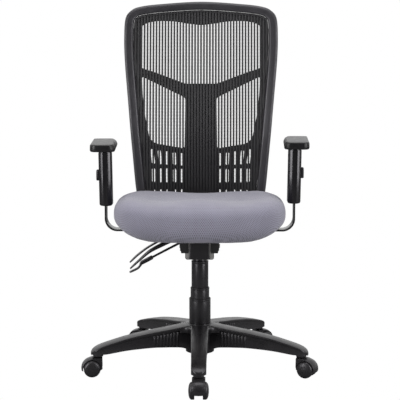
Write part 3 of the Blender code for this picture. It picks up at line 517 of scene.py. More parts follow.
def make_base():
    bm = bmesh.new()
    profile = [(0.0242, 0.1414), (0.0364, 0.1414), (0.0370, 0.1408), (0.0372, 0.1394), (0.0440, 0.1385),
               (0.0560, 0.1352), (0.0560, 0.1180), (0.0440, 0.1120), (0.0436, 0.0530), (0.0424, 0.0520),
               (0.0240, 0.0520)]
    lathe(bm, rounded(profile, 0.0012, 3), 80)
    rows = leg_rows()
    for angle in leg_angles():
        turn = turned(angle)
        skin(bm, [leg_section(*row) for row in rows], matrix=turn)
        for radius in (0.105, 0.145, 0.185, 0.225, 0.262):
            low = np.interp(radius, [0.07, 0.16, 0.29], [0.078, 0.083, 0.075])
            block(bm, (radius - 0.001, -0.0185, low), (radius + 0.001, 0.0185, 0.0985), turn)
        block(bm, (0.040, -0.0012, 0.087), (0.286, 0.0012, 0.0980), turn)
        boss = [(0.0062, HOOD_TOP + 0.0006), (0.0148, HOOD_TOP + 0.0006), (0.0155, HOOD_TOP + 0.0013),
                (0.0155, 0.0700), (0.0062, 0.0700)]
        lathe(bm, boss, 48, matrix=turn @ Matrix.Translation((STEM_CIRCLE, 0.0, 0.0)))
        fillet = turned(angle + 180 / LEG_COUNT)
        add_hub_fillet(bm, fillet)
    piece("base_shell", bm, NYLON, "base", "five_star_base", sharp=42)
    make_flank_ribs()


def add_hub_fillet(bm, turn):
    """The web that rounds off the corner between two legs at the hub."""
    half, radius, spread = 0.0262, 0.026, math.radians(180 / LEG_COUNT)
    corner = half / math.sin(spread)
    centre = corner + radius / math.sin(spread)
    sweep = 90 - 180 / LEG_COUNT
    curve = arc((centre, 0.0), radius, 180 - sweep, 180 + sweep, 14)
    rings = []
    for z, inset in ((0.1185, 0.0012), (0.1200, 0.0), (0.1318, 0.0), (0.1340, 0.0008), (0.1350, 0.0030)):
        outline = [(x - inset, y) for x, y in curve] + [(0.034, -0.020), (0.034, 0.020)]
        rings.append([(x, y, z) for x, y in outline])
    skin(bm, rings, matrix=turn)


def make_flank_ribs():
    """Upright ribs on both flanks of each leg, near the hub."""
    bm = bmesh.new()
    table = leg_rows()
    radii = [row[0] for row in table]
    for angle in leg_angles():
        turn = turned(angle)
        for radius in FLANK_RIB_RADII:
            flange, bottom, flank = (np.interp(radius, radii, [row[k] for row in table]) for k in (2, 3, 5))
            for side in (-1, 1):
                rib = [(radius - 0.0030, 0.0), (radius - 0.0015, 0.0028), (radius + 0.0015, 0.0028),
                       (radius + 0.0030, 0.0)]
                outline = rounded(rib, 0.0010, 2, closed=False)
                rings = [[(r, side * (flank - 0.0003 + out * scale), z) for r, out in outline]
                         for z, scale in ((bottom + 0.0008, 0.2), (bottom + 0.003, 1.0),
                                          (flange - 0.0055, 1.0), (flange - 0.0035, 0.4))]
                skin(bm, rings, matrix=turn)
    piece("base_flank_ribs", bm, NYLON, "base", sharp=50)


# ----------------------------------------------------------------- the casters


def hood_outline():
    """Side view of a caster's hood: x runs along the trail, z up."""
    axle, inner = (CASTER_TRAIL, WHEEL_RADIUS), WHEEL_RADIUS + 0.0018
    points = arc(axle, inner + 0.0048, -12, 74, 26)
    crown = [(0.0200, HOOD_TOP - 0.0016), (0.0140, HOOD_TOP), (-0.0125, HOOD_TOP), (-0.0130, 0.0300),
             (-0.0080, 0.0210)]
    points += rounded(crown, 0.0022, 4, closed=False)
    points += arc(axle, inner, 186, -12, 40)
    return points


def add_hood(bm, place):
    """The hood, whose outer face curves in towards the axle at both sides."""
    outline = [Vector(p) for p in hood_outline()]
    axle = Vector((CASTER_TRAIL, WHEEL_RADIUS))
    rings = []
    for step in np.linspace(-1.0, 1.0, 13):
        y = HOOD_HALF_WIDTH * math.sin(math.radians(90 * step))
        ring = []
        for point in outline:
            arm = point - axle
            drawn_in = arm.length * (1 - 0.09 * (y / HOOD_HALF_WIDTH) ** 2)
            reach = max(drawn_in, WHEEL_RADIUS + 0.0030) if arm.length > WHEEL_RADIUS + 0.0030 else arm.length
            ring.append(axle + arm.normalized() * reach)
        rings.append([(p.x, y, p.y) for p in ring])
    skin(bm, rings, matrix=place)


def web_outline():
    axle = (CASTER_TRAIL, WHEEL_RADIUS)
    top = arc(axle, WHEEL_RADIUS + 0.0038, 30, 118, 12)
    return top + [(-0.0110, 0.0520), (-0.0120, 0.0220), (0.0, 0.0135), (0.0270, 0.0135), (0.0400, 0.0200)]


def make_caster(name, angle, heading):
    a = math.radians(angle)
    stem = (STEM_CIRCLE * math.cos(a), STEM_CIRCLE * math.sin(a), 0.0)
    place = Matrix.Translation(stem) @ turned(heading)
    axle_at = Matrix.Translation((CASTER_TRAIL, 0.0, WHEEL_RADIUS))
    across = axle_at @ Matrix.Rotation(math.radians(-90), 4, "X")
    bm = bmesh.new()
    add_hood(bm, place)
    prism(bm, web_outline(), -0.0108, 0.0108, "Y", place)
    for side in (-1, 1):
        lathe(bm, [(0.0034, side * 0.0100), (0.0070, side * 0.0100), (0.0066, side * 0.0116),
                   (0.0034, side * 0.0116)], 24, matrix=place @ across)
    piece(f"hood_shell_{name}", bm, NYLON, f"caster_{name}", f"caster_hood_{name}", bevel=0.0011)
    for side, turn in (("a", 0.0), ("b", math.pi)):
        outward = Matrix.Rotation(turn, 4, "X")
        make_wheel(f"{name}_{side}", place @ across @ outward)


def make_wheel(name, place):
    inner, outer, radius = WHEEL_INNER_FACE, WHEEL_OUTER_FACE, WHEEL_RADIUS
    profile = [
        (0.0033, inner + 0.0120), (0.0033, inner), (0.0070, inner), (0.0078, inner + 0.0015),
        (0.0205, inner + 0.0015), (0.0212, inner), (radius - 0.0012, inner), (radius, inner + 0.0012),
        (radius, outer - 0.0090), (radius - 0.0006, outer - 0.0070), (radius - 0.0022, outer - 0.0050),
        (radius - 0.0056, outer - 0.0028), (radius - 0.0115, outer - 0.0010), (0.0060, outer - 0.0002),
        (0.0052, outer), (0.0008, outer),
    ]
    bm = bmesh.new()
    lathe(bm, rounded(profile, 0.0006, 2, closed=False), 72, ring=False, matrix=place)
    piece(f"wheel_shell_{name}", bm, WHEEL, f"wheel_{name}", f"caster_wheel_{name}", sharp=50)


# ---------------------------------------------------- the gas lift and covers


def make_column():
    covers = (
        ("lower", 0.0331, 0.1417, 0.2180, None, "base"),
        ("middle", 0.0290, 0.1735, 0.2516, None, "middle_cover"),
        ("upper", 0.0261, 0.2430, 0.3345, 0.0215, "column"),
    )
    for name, radius, bottom, top, neck, body in covers:
        inner = radius - 0.0017
        profile = [(inner, bottom), (radius - 0.0004, bottom), (radius - 0.0004, top - 0.0068),
                   (radius - 0.0010, top - 0.0062), (radius - 0.0002, top - 0.0054), (radius, top - 0.0010)]
        if neck is None:
            profile += [(radius - 0.0010, top), (inner, top)]
        else:
            profile += [(radius - 0.0016, top), (neck + 0.0010, top + 0.0012), (neck, top + 0.0024),
                        (neck, top + 0.0080), (neck - 0.0015, top + 0.0085), (neck - 0.0015, top - 0.0030),
                        (inner, top - 0.0045)]
        bm = bmesh.new()
        lathe(bm, rounded(profile, 0.0004, 2), 96)
        piece(f"{name}_cover_sleeve", bm, NYLON, body, f"cover_{name}", sharp=50)
    bm = bmesh.new()
    profile = [(0.0056, 0.1680), (0.0125, 0.1680), (0.0140, 0.1695), (0.0140, 0.3500), (0.0132, 0.3950),
               (0.0034, 0.3950), (0.0034, 0.3800), (0.0118, 0.3750), (0.0118, 0.1740), (0.0056, 0.1740)]
    lathe(bm, profile, 64)
    piece("pressure_tube", bm, BLACK_STEEL, "column", "gas_cylinder", sharp=40)
    bm = bmesh.new()
    profile = [(0.0056, 0.0525), (0.0216, 0.0525), (0.0226, 0.0535), (0.0238, 0.1300), (0.0225, 0.1320),
               (0.0225, 0.2242), (0.0222, 0.2250), (0.0216, 0.2250), (0.0216, 0.0600), (0.0056, 0.0600)]
    lathe(bm, profile, 64)
    lathe(bm, [(0.0052, 0.0500), (0.0090, 0.0500), (0.0090, 0.0524), (0.0052, 0.0524)], 40)
    piece("outer_tube", bm, BLACK_STEEL, "base", "gas_outer_tube", sharp=40)


# --------------------------------------------------------------- the mechanism


def make_housing():
    """A pressed-steel tray, open on top, with a socket for the gas lift under it."""
    low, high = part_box("mechanism_housing")
    half, bottom, top, wall = high.x, 0.3525, high.z, 0.0025
    front, rear = -0.0895, high.y
    bm = bmesh.new()
    corner = 0.007
    outer = [(-half, top)] + arc((-half + corner, bottom + corner), corner, 180, 270, 8)
    outer += arc((half - corner, bottom + corner), corner, 270, 360, 8) + [(half, top)]
    inner = [(half - wall, top)] + arc((half - corner, bottom + corner), corner - wall, 0, -90, 8)
    inner += arc((-half + corner, bottom + corner), corner - wall, -90, -180, 8) + [(-half + wall, top)]
    prism(bm, outer + inner, front, rear, "Y")
    prism(bm, outer, front, front + wall, "Y")
    for sign in (-1, 1):
        block(bm, (min(sign * (half - 0.001), sign * (half + 0.0045)), front + 0.006, top - 0.0025),
              (max(sign * (half - 0.001), sign * (half + 0.0045)), rear - 0.006, top))
    lift_socket = [(0.0143, 0.3445), (0.0195, 0.3445), (0.0195, 0.3500), (0.0225, 0.3530),
                   (0.0195, 0.3560), (0.0195, 0.3920), (0.0143, 0.3920)]
    lathe(bm, rounded(lift_socket, 0.0008, 2), 64)
    piece("housing_tray", bm, ZINC, "column", "mechanism_housing", bevel=0.0008)

    bm = bmesh.new()
    rows = [(0.4040, 0.0288), (0.3920, 0.0289), (0.3800, 0.0291), (0.3700, 0.0297), (0.3620, 0.0308),
            (0.3570, 0.0320)]
    rings = []
    for z, half_width in (tuple(row) for row in spline(rows, 4)):
        back, nose = front + 0.0008, low.y
        outline = rounded([(-half_width, back), (-half_width, nose + 0.002), (-half_width + 0.002, nose),
                           (half_width - 0.002, nose), (half_width, nose + 0.002), (half_width, back)],
                          0.0014, 3)
        rings.append([(x, y, z) for x, y in outline])
    skin(bm, rings)
    piece("housing_nose", bm, CARRIER_PLASTIC, "column", bevel=0.0006)

    bm = bmesh.new()
    for sign in (-1, 1):
        for y, z in ((-0.065, 0.390), (0.062, 0.378)):
            reach = 0.0592 if y < 0 else 0.0447
            lathe(bm, rounded([(0.0008, reach + 0.0016), (0.0052, reach + 0.0016), (0.0062, reach + 0.0004),
                               (0.0062, reach - 0.0012), (0.0008, reach - 0.0012)], 0.0004, 2), 32,
                  matrix=facing((0.0, y, z), (sign, 0.0, 0.0)))
    piece("shaft_clips", bm, BARE_STEEL, "column", sharp=40)


def make_seat_plate():
    low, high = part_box("seat_plate")
    top = high.z
    bm = bmesh.new()
    prism(bm, rounded_rectangle(0.100, 0.085, 0.012, 6, (0.0, (low.y + high.y) / 2)), top - 0.003, top)
    for sign in (-1, 1):
        wing = [(0.0328, 0.3735), (0.0535, 0.3735), (0.0548, 0.3745), (0.0582, 0.3950), (0.0582, top - 0.001),
                (0.0328, top - 0.001)]
        prism(bm, [(sign * x, z) for x, z in rounded(wing, 0.0014, 3)], -0.0999, -0.0972, "Y")
        ear = [(-0.0975, 0.3800), (-0.0600, 0.3780), (-0.0480, 0.3860), (-0.0400, top - 0.001),
               (-0.0975, top - 0.001)]
        prism(bm, rounded(ear, 0.004, 4), *sorted((sign * 0.0545, sign * 0.0580)), "X")
    piece("mounting_plate", bm, BLACK_STEEL, "seat", "seat_plate", bevel=0.0006)
    bm = bmesh.new()
    for x in (-0.083, 0.083):
        for y in (-0.083, 0.053):
            bolt(bm, (x, y, top - 0.003), (0, 0, -1), 0.0065, 0.0042, 0.0027)
            washer = [(0.0030, top - 0.0042), (0.0085, top - 0.0042), (0.0085, top - 0.0030),
                      (0.0030, top - 0.0030)]
            lathe(bm, washer, 32, matrix=Matrix.Translation((x, y, 0.0)))
    bar_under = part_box("seat_board")[0].z - 0.0053
    for sign in (-1, 1):
        for x in (0.135, 0.165, 0.195):
            for y in (-0.014, 0.014):
                bolt(bm, (sign * x, y, bar_under), (0, 0, -1), 0.0060, 0.0040, 0.0026)
    piece("seat_bolts", bm, BARE_STEEL, "seat")


def strip(bm, centreline, half, thickness, corner):
    """A flat bar with rounded edges along (y, z, width share) points."""
    rings = []
    for i, (y, z, share) in enumerate(centreline):
        normal = across_path(centreline, i)
        section = rounded_rectangle(half * share, thickness / 2, corner, 3)
        rings.append([(x, y + n * normal.x, z + n * normal.y) for x, n in section])
    skin(bm, rings)


def make_back_bracket():
    y_axis, z_axis, half, thickness = 0.062, 0.378, 0.036, 0.007
    standoff = SPINE_REAR + 0.0020 + thickness / 2
    line = [(y, z_axis - 0.004) for y in (0.088, 0.150, 0.210, 0.262)]
    line += arc((0.268, z_axis + 0.036), 0.040, -84, 0, 14)
    heights = np.linspace(0.440, 0.650, 22)
    line += [(back_depth(0.0, z) + standoff, z) for z in heights]
    taper_start, taper_height = 0.636, 0.014
    rows = [(y, z, 1.0) for y, z in line if z < taper_start]
    for k in range(1, 6):
        turn = math.radians(18 * k)
        z = 0.650 - taper_height + taper_height * math.sin(turn)
        rows.append((back_depth(0.0, z) + standoff, z, 0.62 + 0.38 * math.cos(turn)))
    bm = bmesh.new()
    strip(bm, rows, half, thickness, 0.0022)
    nose = arc((y_axis, z_axis), 0.0085, 90, 270, 14)
    outline = nose + [(0.100, z_axis - 0.0085), (0.100, z_axis + 0.001), (0.085, z_axis + 0.0085)]
    for sign in (-1, 1):
        prism(bm, outline, *sorted((sign * 0.028, sign * half)), "X")
    piece("back_bar", bm, BLACK_STEEL, "back", "back_bracket", bevel=0.0008)
    bm = bmesh.new()
    for z in (0.530, 0.615):
        for x in (-0.018, 0.018):
            face = back_depth(0.0, z) + standoff + thickness / 2
            bolt(bm, (x, face, z), (0, 1, 0.06), 0.0068, 0.0042, 0.0030)
            lathe(bm, [(0.0030, 0.0), (0.0095, 0.0), (0.0095, 0.0012), (0.0030, 0.0012)], 32,
                  matrix=facing((x, face - 0.0004, z), (0, 1, 0.06)))
    piece("bracket_bolts", bm, BARE_STEEL, "back")


# ------------------------------------------------------------------ the levers

LEVERS = {
    # rows of x, z, half width along Y and thickness
    "lift": (0.000, [
        (0.001, 0.4045, 0.0034, 0.0044), (-0.030, 0.4040, 0.0038, 0.0058),
        (-0.046, 0.3960, 0.0034, 0.0064), (-0.066, 0.3855, 0.0032, 0.0070),
        (-0.105, 0.3652, 0.0031, 0.0070), (-0.1430, 0.3450, 0.0031, 0.0070),
        (-0.1450, 0.3440, 0.0056, 0.0116), (-0.1480, 0.3424, 0.0061, 0.0126),
        (-0.1640, 0.3338, 0.0061, 0.0128), (-0.1770, 0.3268, 0.0060, 0.0122),
        (-0.1802, 0.3225, 0.0058, 0.0090), (-0.1835, 0.3165, 0.0068, 0.0072),
        (-0.1895, 0.3098, 0.0078, 0.0066), (-0.2000, 0.3040, 0.0080, 0.0064),
        (-0.2100, 0.2994, 0.0074, 0.0062), (-0.2150, 0.2972, 0.0050, 0.0046)]),
    "recline": (0.026, [
        (-0.028, 0.3965, 0.0050, 0.0060), (-0.060, 0.3945, 0.0050, 0.0075),
        (-0.080, 0.3918, 0.0070, 0.0100), (-0.095, 0.3880, 0.0092, 0.0120),
        (-0.120, 0.3765, 0.0115, 0.0124), (-0.155, 0.3570, 0.0120, 0.0098),
        (-0.190, 0.3265, 0.0120, 0.0068), (-0.206, 0.3118, 0.0108, 0.0060),
        (-0.2146, 0.3038, 0.0070, 0.0044)]),
    "tilt": (0.052, [
        (-0.028, 0.3975, 0.0050, 0.0056), (-0.070, 0.3965, 0.0050, 0.0058),
        (-0.090, 0.3955, 0.0078, 0.0060), (-0.110, 0.3930, 0.0102, 0.0062),
        (-0.143, 0.3765, 0.0118, 0.0063), (-0.168, 0.3610, 0.0120, 0.0063),
        (-0.193, 0.3415, 0.0120, 0.0063), (-0.208, 0.3275, 0.0106, 0.0058),
        (-0.2174, 0.3185, 0.0070, 0.0042)]),
}


def make_lever(name, y, rows):
    """A moulded blade in the XZ plane, with a rounded section."""
    path = [tuple(row) for row in spline(rows, 5)]
    rings = []
    for i, (x, z, half, thickness) in enumerate(path):
        across = -across_path(path, i)
        ring = []
        for k in range(20):
            a = math.tau * k / 20
            side = signed_power(math.cos(a), 0.62) * half
            rise = signed_power(math.sin(a), 0.72) * thickness / 2
            ring.append((x + across.x * rise, y + side, z + across.y * rise))
        rings.append(ring)
    bm = bmesh.new()
    skin(bm, rings)
    piece(f"{name}_handle", bm, GLOSS, f"{name}_lever", f"lever_{name}", sharp=55)


# -------------------------------------------------------------------- the seat


def seat_plan(share, count):
    """The seat's outline, a superellipse, scaled about its centre."""
    low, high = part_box("seat_cushion")
    half_x, half_y = (high.x - low.x) / 2, (high.y - low.y) / 2
    centre_y, power = (high.y + low.y) / 2, 2.0 / SEAT_SQUARENESS
    points = []
    for i in range(count):
        a = math.tau * i / count
        x = signed_power(math.cos(a), power) * half_x * share
        y = signed_power(math.sin(a), power) * half_y * share
        points.append((x, centre_y + y))
    return points


def seat_top(x, y):
    """Height of the cushion's upper surface before its edge rolls over."""
    side_rise = 0.0090 * smooth_step(abs(x) / 0.17)
    shoulder = 0.0060 * smooth_step((abs(x) - 0.1335) / 0.08)
    ridge = 0.016 * math.exp(-((x / 0.075) ** 2) - ((y + 0.150) / 0.085) ** 2)
    front_rise = 0.004 * smooth_step((-y - 0.02) / 0.12)
    hollows = -0.006 * math.exp(-(((abs(x) - 0.125) / 0.065) ** 2) - ((y + 0.02) / 0.13) ** 2)
    return SEAT_CROWN_Z + side_rise + shoulder + ridge + front_rise + hollows


def front_lip(y):
    return smooth_step((-y - 0.11) / 0.093)


def seat_under(y):
    return UNDER_Z - LIP_DROP * front_lip(y)


def fullness(share, edge):
    return (1 - share ** edge[0]) ** edge[1]


def cushion_rings(shrink, sink):
    """Rings over the cushion from under its middle, round its edge, to the top of its middle."""
    count = COVER_RING_POINTS
    angles = (4, 10, 18, 27, 36, 45, 54, 62, 69, 75, 80, 84, 87)
    shares = sorted(BOARD_EDGE_SHARES + [math.sin(math.radians(a)) for a in angles])
    rings = []
    for upper in (False, True):
        half = []
        for share in shares:
            ring = []
            for x, y in seat_plan(share * shrink, count):
                if upper:
                    z = SEAT_SIDE_Z + (seat_top(x, y) - sink - SEAT_SIDE_Z) * fullness(share, TOP_EDGE)
                elif share < BOARD_SHARE + 0.012:
                    z = BOARD_TOP + 0.0015
                else:
                    lip = front_lip(y)
                    full = (1 - lip) * fullness(share, UNDER_EDGE) + lip * fullness(share, LIP_EDGE)
                    z = SEAT_SIDE_Z + (seat_under(y) + sink * 0.5 - SEAT_SIDE_Z) * full
                ring.append((x, y, z))
            half.append(ring)
        rings += reversed(half) if upper else half
        if not upper:
            rings.append([(x, y, SEAT_SIDE_Z) for x, y in seat_plan(shrink, count)])
    return rings


def coordinates_of(mesh):
    points = np.empty(len(mesh.vertices) * 3, np.float64)
    mesh.vertices.foreach_get("co", points)
    return points.reshape(-1, 3)


def relax(mesh, moved, rounds):
    """Average each point's movement with its neighbours', so that no wrinkle is left."""
    ends = np.empty(len(mesh.edges) * 2, np.int32)
    mesh.edges.foreach_get("vertices", ends)
    first, second = ends.reshape(-1, 2).T
    count = np.bincount(ends, minlength=len(moved))[:, None] + 1
    for _ in range(rounds):
        total = moved.copy()
        np.add.at(total, first, moved[second])
        np.add.at(total, second, moved[first])
        moved = total / count
    return moved


def inflate(thing, pinned, pressure, cap):
    """Swell a closed cover with cloth simulation: its points move outwards only, up to the cap."""
    rest = coordinates_of(thing.data)
    group = thing.vertex_groups.new(name="pin")
    held = pinned(rest)
    group.add([int(i) for i in np.flatnonzero(held)], 1.0, "REPLACE")
    cloth = thing.modifiers.new("Cloth", "CLOTH")
    settings = cloth.settings
    settings.quality = 5
    settings.mass = 0.3
    settings.tension_stiffness = settings.compression_stiffness = 12.0
    settings.shear_stiffness = 6.0
    settings.bending_stiffness = 1.5
    settings.use_pressure = True
    settings.uniform_pressure_force = pressure
    settings.vertex_group_mass = "pin"
    settings.effector_weights.gravity = 0.0
    scene = bpy.context.scene
    for step in range(1, 21):
        scene.frame_set(step)
    swollen = coordinates_of(thing.evaluated_get(bpy.context.evaluated_depsgraph_get()).data)
    thing.modifiers.remove(cloth)
    scene.frame_set(1)
    normals = np.empty(len(thing.data.vertices) * 3, np.float64)
    thing.data.vertices.foreach_get("normal", normals)
    normals = normals.reshape(-1, 3)
    outward = ((swollen - rest) * normals).sum(axis=1, keepdims=True)
    moved = relax(thing.data, np.clip(outward, 0.0, cap), 30)
    settled = rest + normals * np.where(held[:, None], 0.0, moved)
    thing.data.vertices.foreach_set("co", settled.astype(np.float32).ravel())
    thing.data.update()


def lay_weave(mesh):
    """Cloth coordinates that run over the top of the cushion and straight down its sides."""
    low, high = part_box("seat_cushion")
    points = coordinates_of(mesh)
    centre = np.array(((low.x + high.x) / 2, (low.y + high.y) / 2))
    plan = (points[:, :2] - centre) / (np.array((high.x - low.x, high.y - low.y)) / 2)
    outward = np.sign(plan) * np.abs(plan) ** (SEAT_SQUARENESS - 1)
    outward /= np.maximum(np.linalg.norm(outward, axis=1, keepdims=True), 1e-6)
    drop = np.array([max(seat_top(x, y) - z, 0.0) for x, y, z in points])
    weave = np.zeros_like(points)
    weave[:, :2] = points[:, :2] + outward * drop[:, None]
    attribute = mesh.attributes.new("weave", "FLOAT_VECTOR", "POINT")
    attribute.data.foreach_set("vector", weave.astype(np.float32).ravel())


def over_board(points):
    """Which points of the cover lie on the board, where it is stapled down."""
    low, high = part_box("seat_board")
    plan = np.abs(points[:, :2] - [(low.x + high.x) / 2, (low.y + high.y) / 2])
    plan /= [(high.x - low.x) / 2, (high.y - low.y) / 2]
    inside = (plan**SEAT_SQUARENESS).sum(axis=1) < 1.03**SEAT_SQUARENESS
    return inside & (points[:, 2] < BOARD_TOP + 0.004)


def make_cushion():
    bm = bmesh.new()
    skin(bm, cushion_rings(0.990, 0.003))
    thing = piece("cushion_cover", bm, FABRIC, "seat", "seat_cushion", sharp=180)
    remesh = thing.modifiers.new("Remesh", "REMESH")
    remesh.mode = "VOXEL"
    remesh.voxel_size = 0.0055
    remesh.use_smooth_shade = True
    apply_modifiers(thing)
    inflate(thing, over_board, 4.0, 0.006)
    subdivision = thing.modifiers.new("Subdivision", "SUBSURF")
    subdivision.levels = subdivision.render_levels = 1
    apply_modifiers(thing)
    lay_weave(thing.data)
    make_hem()


def make_hem():
    """The turned edge of the cover, wrapped round the edge of the board."""
    profile = [(0.8335, 0.4328), (0.8470, 0.4328), (0.8500, 0.4345), (0.8500, 0.4460), (0.8335, 0.4460)]
    bm = bmesh.new()
    rings = [[(x, y, z) for x, y in seat_plan(share, COVER_RING_POINTS)] for share, z in profile]
    skin(bm, rings, closed_path=True)
    hem = piece("cushion_hem", bm, FABRIC, "seat", sharp=60)
    lay_weave(hem.data)


def apply_modifiers(thing):
    """Keep the evaluated shape as the piece's own mesh."""
    evaluated = thing.evaluated_get(bpy.context.evaluated_depsgraph_get())
    mesh = bpy.data.meshes.new_from_object(evaluated)
    thing.modifiers.clear()
    thing.data = mesh


# -------------------------------------------------------------------- the arms


def make_arm(side, sign):
    make_arm_bar(side, sign)
    make_sleeve(side, sign)
    make_arm_pad(side, sign)


def make_arm_bar(side, sign):
    """A flat steel bar that comes out from under the seat and turns up into the sleeve."""
    low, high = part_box(f"arm_bracket_{side}")
    x_out = max(abs(low.x), abs(high.x)) - 0.0025
    x_in = min(abs(low.x), abs(high.x))
    z_run, bend = low.z + 0.0025, ARM_BEND
    line = [(x_in + 0.009 * k / 4, z_run) for k in range(5)]
    line += [(x, z_run) for x in np.linspace(x_in + 0.014, x_out - bend - 0.004, 5)]
    line += arc((x_out - bend, z_run + bend), bend, -90, 0, 24)
    line += [(x_out, z) for z in np.linspace(z_run + bend + 0.01, high.z, 8)]
    rings = []
    for i, (x, z) in enumerate(line):
        normal = across_path(line, i)
        share = 0.55 + 0.45 * math.sin(math.radians(90 * min(i, 4) / 4))
        section = rounded_rectangle(0.025 * share, 0.0025, 0.0016, 4)
        rings.append([(sign * (x + n * normal.x), y, z + n * normal.y) for y, n in section])
    bm = bmesh.new()
    skin(bm, rings)
    piece(f"arm_bar_{side}", bm, BLACK_STEEL, "seat", f"arm_bracket_{side}", sharp=50)


# How far the front and rear faces fall back, against the share of the half width from the middle.
SLEEVE_SHARES = (0.14, 0.325, 0.50, 0.675, 0.85, 0.95, 1.0)
SLEEVE_FALLS = (0.0, 0.0011, 0.0025, 0.0043, 0.0066, 0.0095, 0.0140)


def sleeve_section(half_x, half_y, groove):
    """Front and rear faces that fall away to both sides of a shallow upright groove."""
    points = []
    for k in range(72):
        a = math.tau * k / 72
        c, s = math.cos(a), math.sin(a)
        x = signed_power(c, 0.6) * half_x
        face = half_y - np.interp(abs(x) / half_x, SLEEVE_SHARES, SLEEVE_FALLS)
        face -= groove * math.exp(-((x / 0.0030) ** 2))
        points.append((x, math.copysign(min(half_y * abs(s) ** 0.45, face), s)))
    return points


def make_sleeve(side, sign):
    low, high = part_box(f"arm_sleeve_{side}")
    centre_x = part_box(f"arm_bracket_{side}")[0 if sign < 0 else 1].x - sign * 0.0025
    half_x, half_y = SLEEVE_HALF
    # height, how far the outline grows, and the depth of the groove
    rows = [(low.z + 0.0002, -0.0045, 0.0), (low.z + 0.0014, -0.0022, 0.0006),
            (low.z + 0.0035, -0.0006, 0.0010), (low.z + 0.0060, 0.0, 0.0012),
            ((low.z + high.z) / 2, 0.0, 0.0014), (high.z - 0.014, 0.0, 0.0014),
            (high.z - 0.009, -0.0004, 0.0008), (high.z - 0.0085, -0.0016, 0.0004),
            (high.z, -0.0016, 0.0004)]
    bm = bmesh.new()
    rings = []
    for z, grow, groove in rows:
        shift = np.interp(z, [low.z, high.z], SLEEVE_SHIFT) * sign
        rings.append([(centre_x + shift + x, y, z)
                      for x, y in sleeve_section(half_x + grow, half_y + grow, groove * 2.2)])
    mouth = rounded_rectangle(0.0040, 0.0262, 0.0012, 17)
    inner = [[(centre_x + x, y, z) for x, y in mouth] for z in (low.z + 0.0002, low.z + 0.030)]
    skin(bm, list(reversed(inner)) + rings)
    piece(f"sleeve_shell_{side}", bm, GLOSS, f"arm_{side}", f"arm_sleeve_{side}", sharp=55)

    low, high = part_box(f"arm_button_{side}")
    middle = (low + high) / 2
    half_y, half_z, reach = (high.y - low.y) / 2, (high.z - low.z) / 2, (high.x - low.x) / 2
    rings = []
    for depth, shrink in ((-reach, 0.0), (0.0, 0.0), (reach - 0.0022, 0.0), (reach - 0.0008, 0.0008),
                          (reach, 0.0022)):
        outline = rounded_rectangle(half_y - shrink, half_z - shrink, 0.006 - shrink, 6, (middle.y, middle.z))
        rings.append([(middle.x + sign * depth, y, z) for y, z in outline])
    bm = bmesh.new()
    skin(bm, rings)
    for k in range(-2, 3):
        z = middle.z + 0.0045 * k
        x_low, x_high = sorted((middle.x + sign * (reach - 0.0006), middle.x + sign * (reach + 0.0004)))
        block(bm, (x_low, middle.y - 0.0065, z - 0.0006), (x_high, middle.y + 0.0065, z + 0.0006))
    piece(f"button_cap_{side}", bm, GLOSS, f"button_{side}", f"arm_button_{side}", sharp=50)


def make_arm_pad(side, sign):
    low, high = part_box(f"arm_pad_{side}")
    place = Matrix.Translation(((low.x + high.x) / 2, (low.y + high.y) / 2, 0.0))
    place @= turned(-sign * PAD_TOE_IN)
    half_x, half_y = PAD_HALF
    bottom, top = low.z, high.z
    # height, how far the outline grows, and how far the inner shoulder has closed in
    rows = [(bottom + 0.0004, -0.0080, 0.0), (bottom + 0.0004, -0.0048, 0.0), (bottom + 0.0010, -0.0026, 0.0),
            (bottom + 0.0028, -0.0008, 0.0), (bottom + 0.0055, 0.0, 0.0), (bottom + 0.0110, 0.0, 0.10),
            (top - 0.0060, -0.0002, 0.34), (top - 0.0030, -0.0006, 0.62), (top - 0.0012, -0.0014, 0.86),
            (top - 0.0004, -0.0026, 0.97), (top - 0.0001, -0.0046, 1.0), (top, -0.0100, 1.0),
            (top, -0.0180, 1.0)]
    rings = []
    for z, grow, closed in rows:
        ring = []
        for x, y in rounded_rectangle(half_x + grow, half_y + grow, max(0.019 + grow * 0.55, 0.004), 9):
            if sign * x < 0:
                x *= 1 - closed * (0.10 + 0.24 * smooth_step((y + half_y) / (2 * half_y)))
            ring.append((x, y, z + dip(y, z, bottom, top)))
        rings.append(ring)
    bm = bmesh.new()
    skin(bm, rings, matrix=place)
    bmesh.ops.triangulate(bm, faces=[f for f in bm.faces if len(f.verts) > 4])
    thing = piece(f"arm_pad_skin_{side}", bm, PAD, f"arm_{side}", f"arm_pad_{side}", sharp=60)


def dip(y, z, bottom, top):
    """A pad's top falls away a little at both ends."""
    return -0.0012 * (z - bottom) / (top - bottom) * smooth_step((abs(y) - 0.095) / 0.03)


# -------------------------------------------------------------------- the back

BACK_HALF_OUTLINE = [
    (0.000, 0.452), (0.150, 0.455), (0.196, 0.478), (0.2085, 0.516), (0.2205, 0.650),
    (0.2335, 0.800), (0.2455, 0.937), (0.2480, 1.017), (0.2440, 1.071), (0.2265, 1.0955),
    (0.1980, 1.108), (0.133, 1.1165), (0.000, 1.1245),
]


def back_depth(x, z):
    """Y of the back's front surface: a hyperbola in side view, cupped from side to side."""
    rise = z - LUMBAR_Z
    lean = (LEAN_ABOVE + LEAN_BELOW) / 2 * rise
    bend = math.hypot((LEAN_ABOVE - LEAN_BELOW) / 2 * rise, LUMBAR_ROUNDING)
    cup = CUP_LOW + (CUP_HIGH - CUP_LOW) * smooth_step(rise / 0.45)
    return LUMBAR_Y + lean + bend + cup * (1 - (x / 0.24) ** 2)


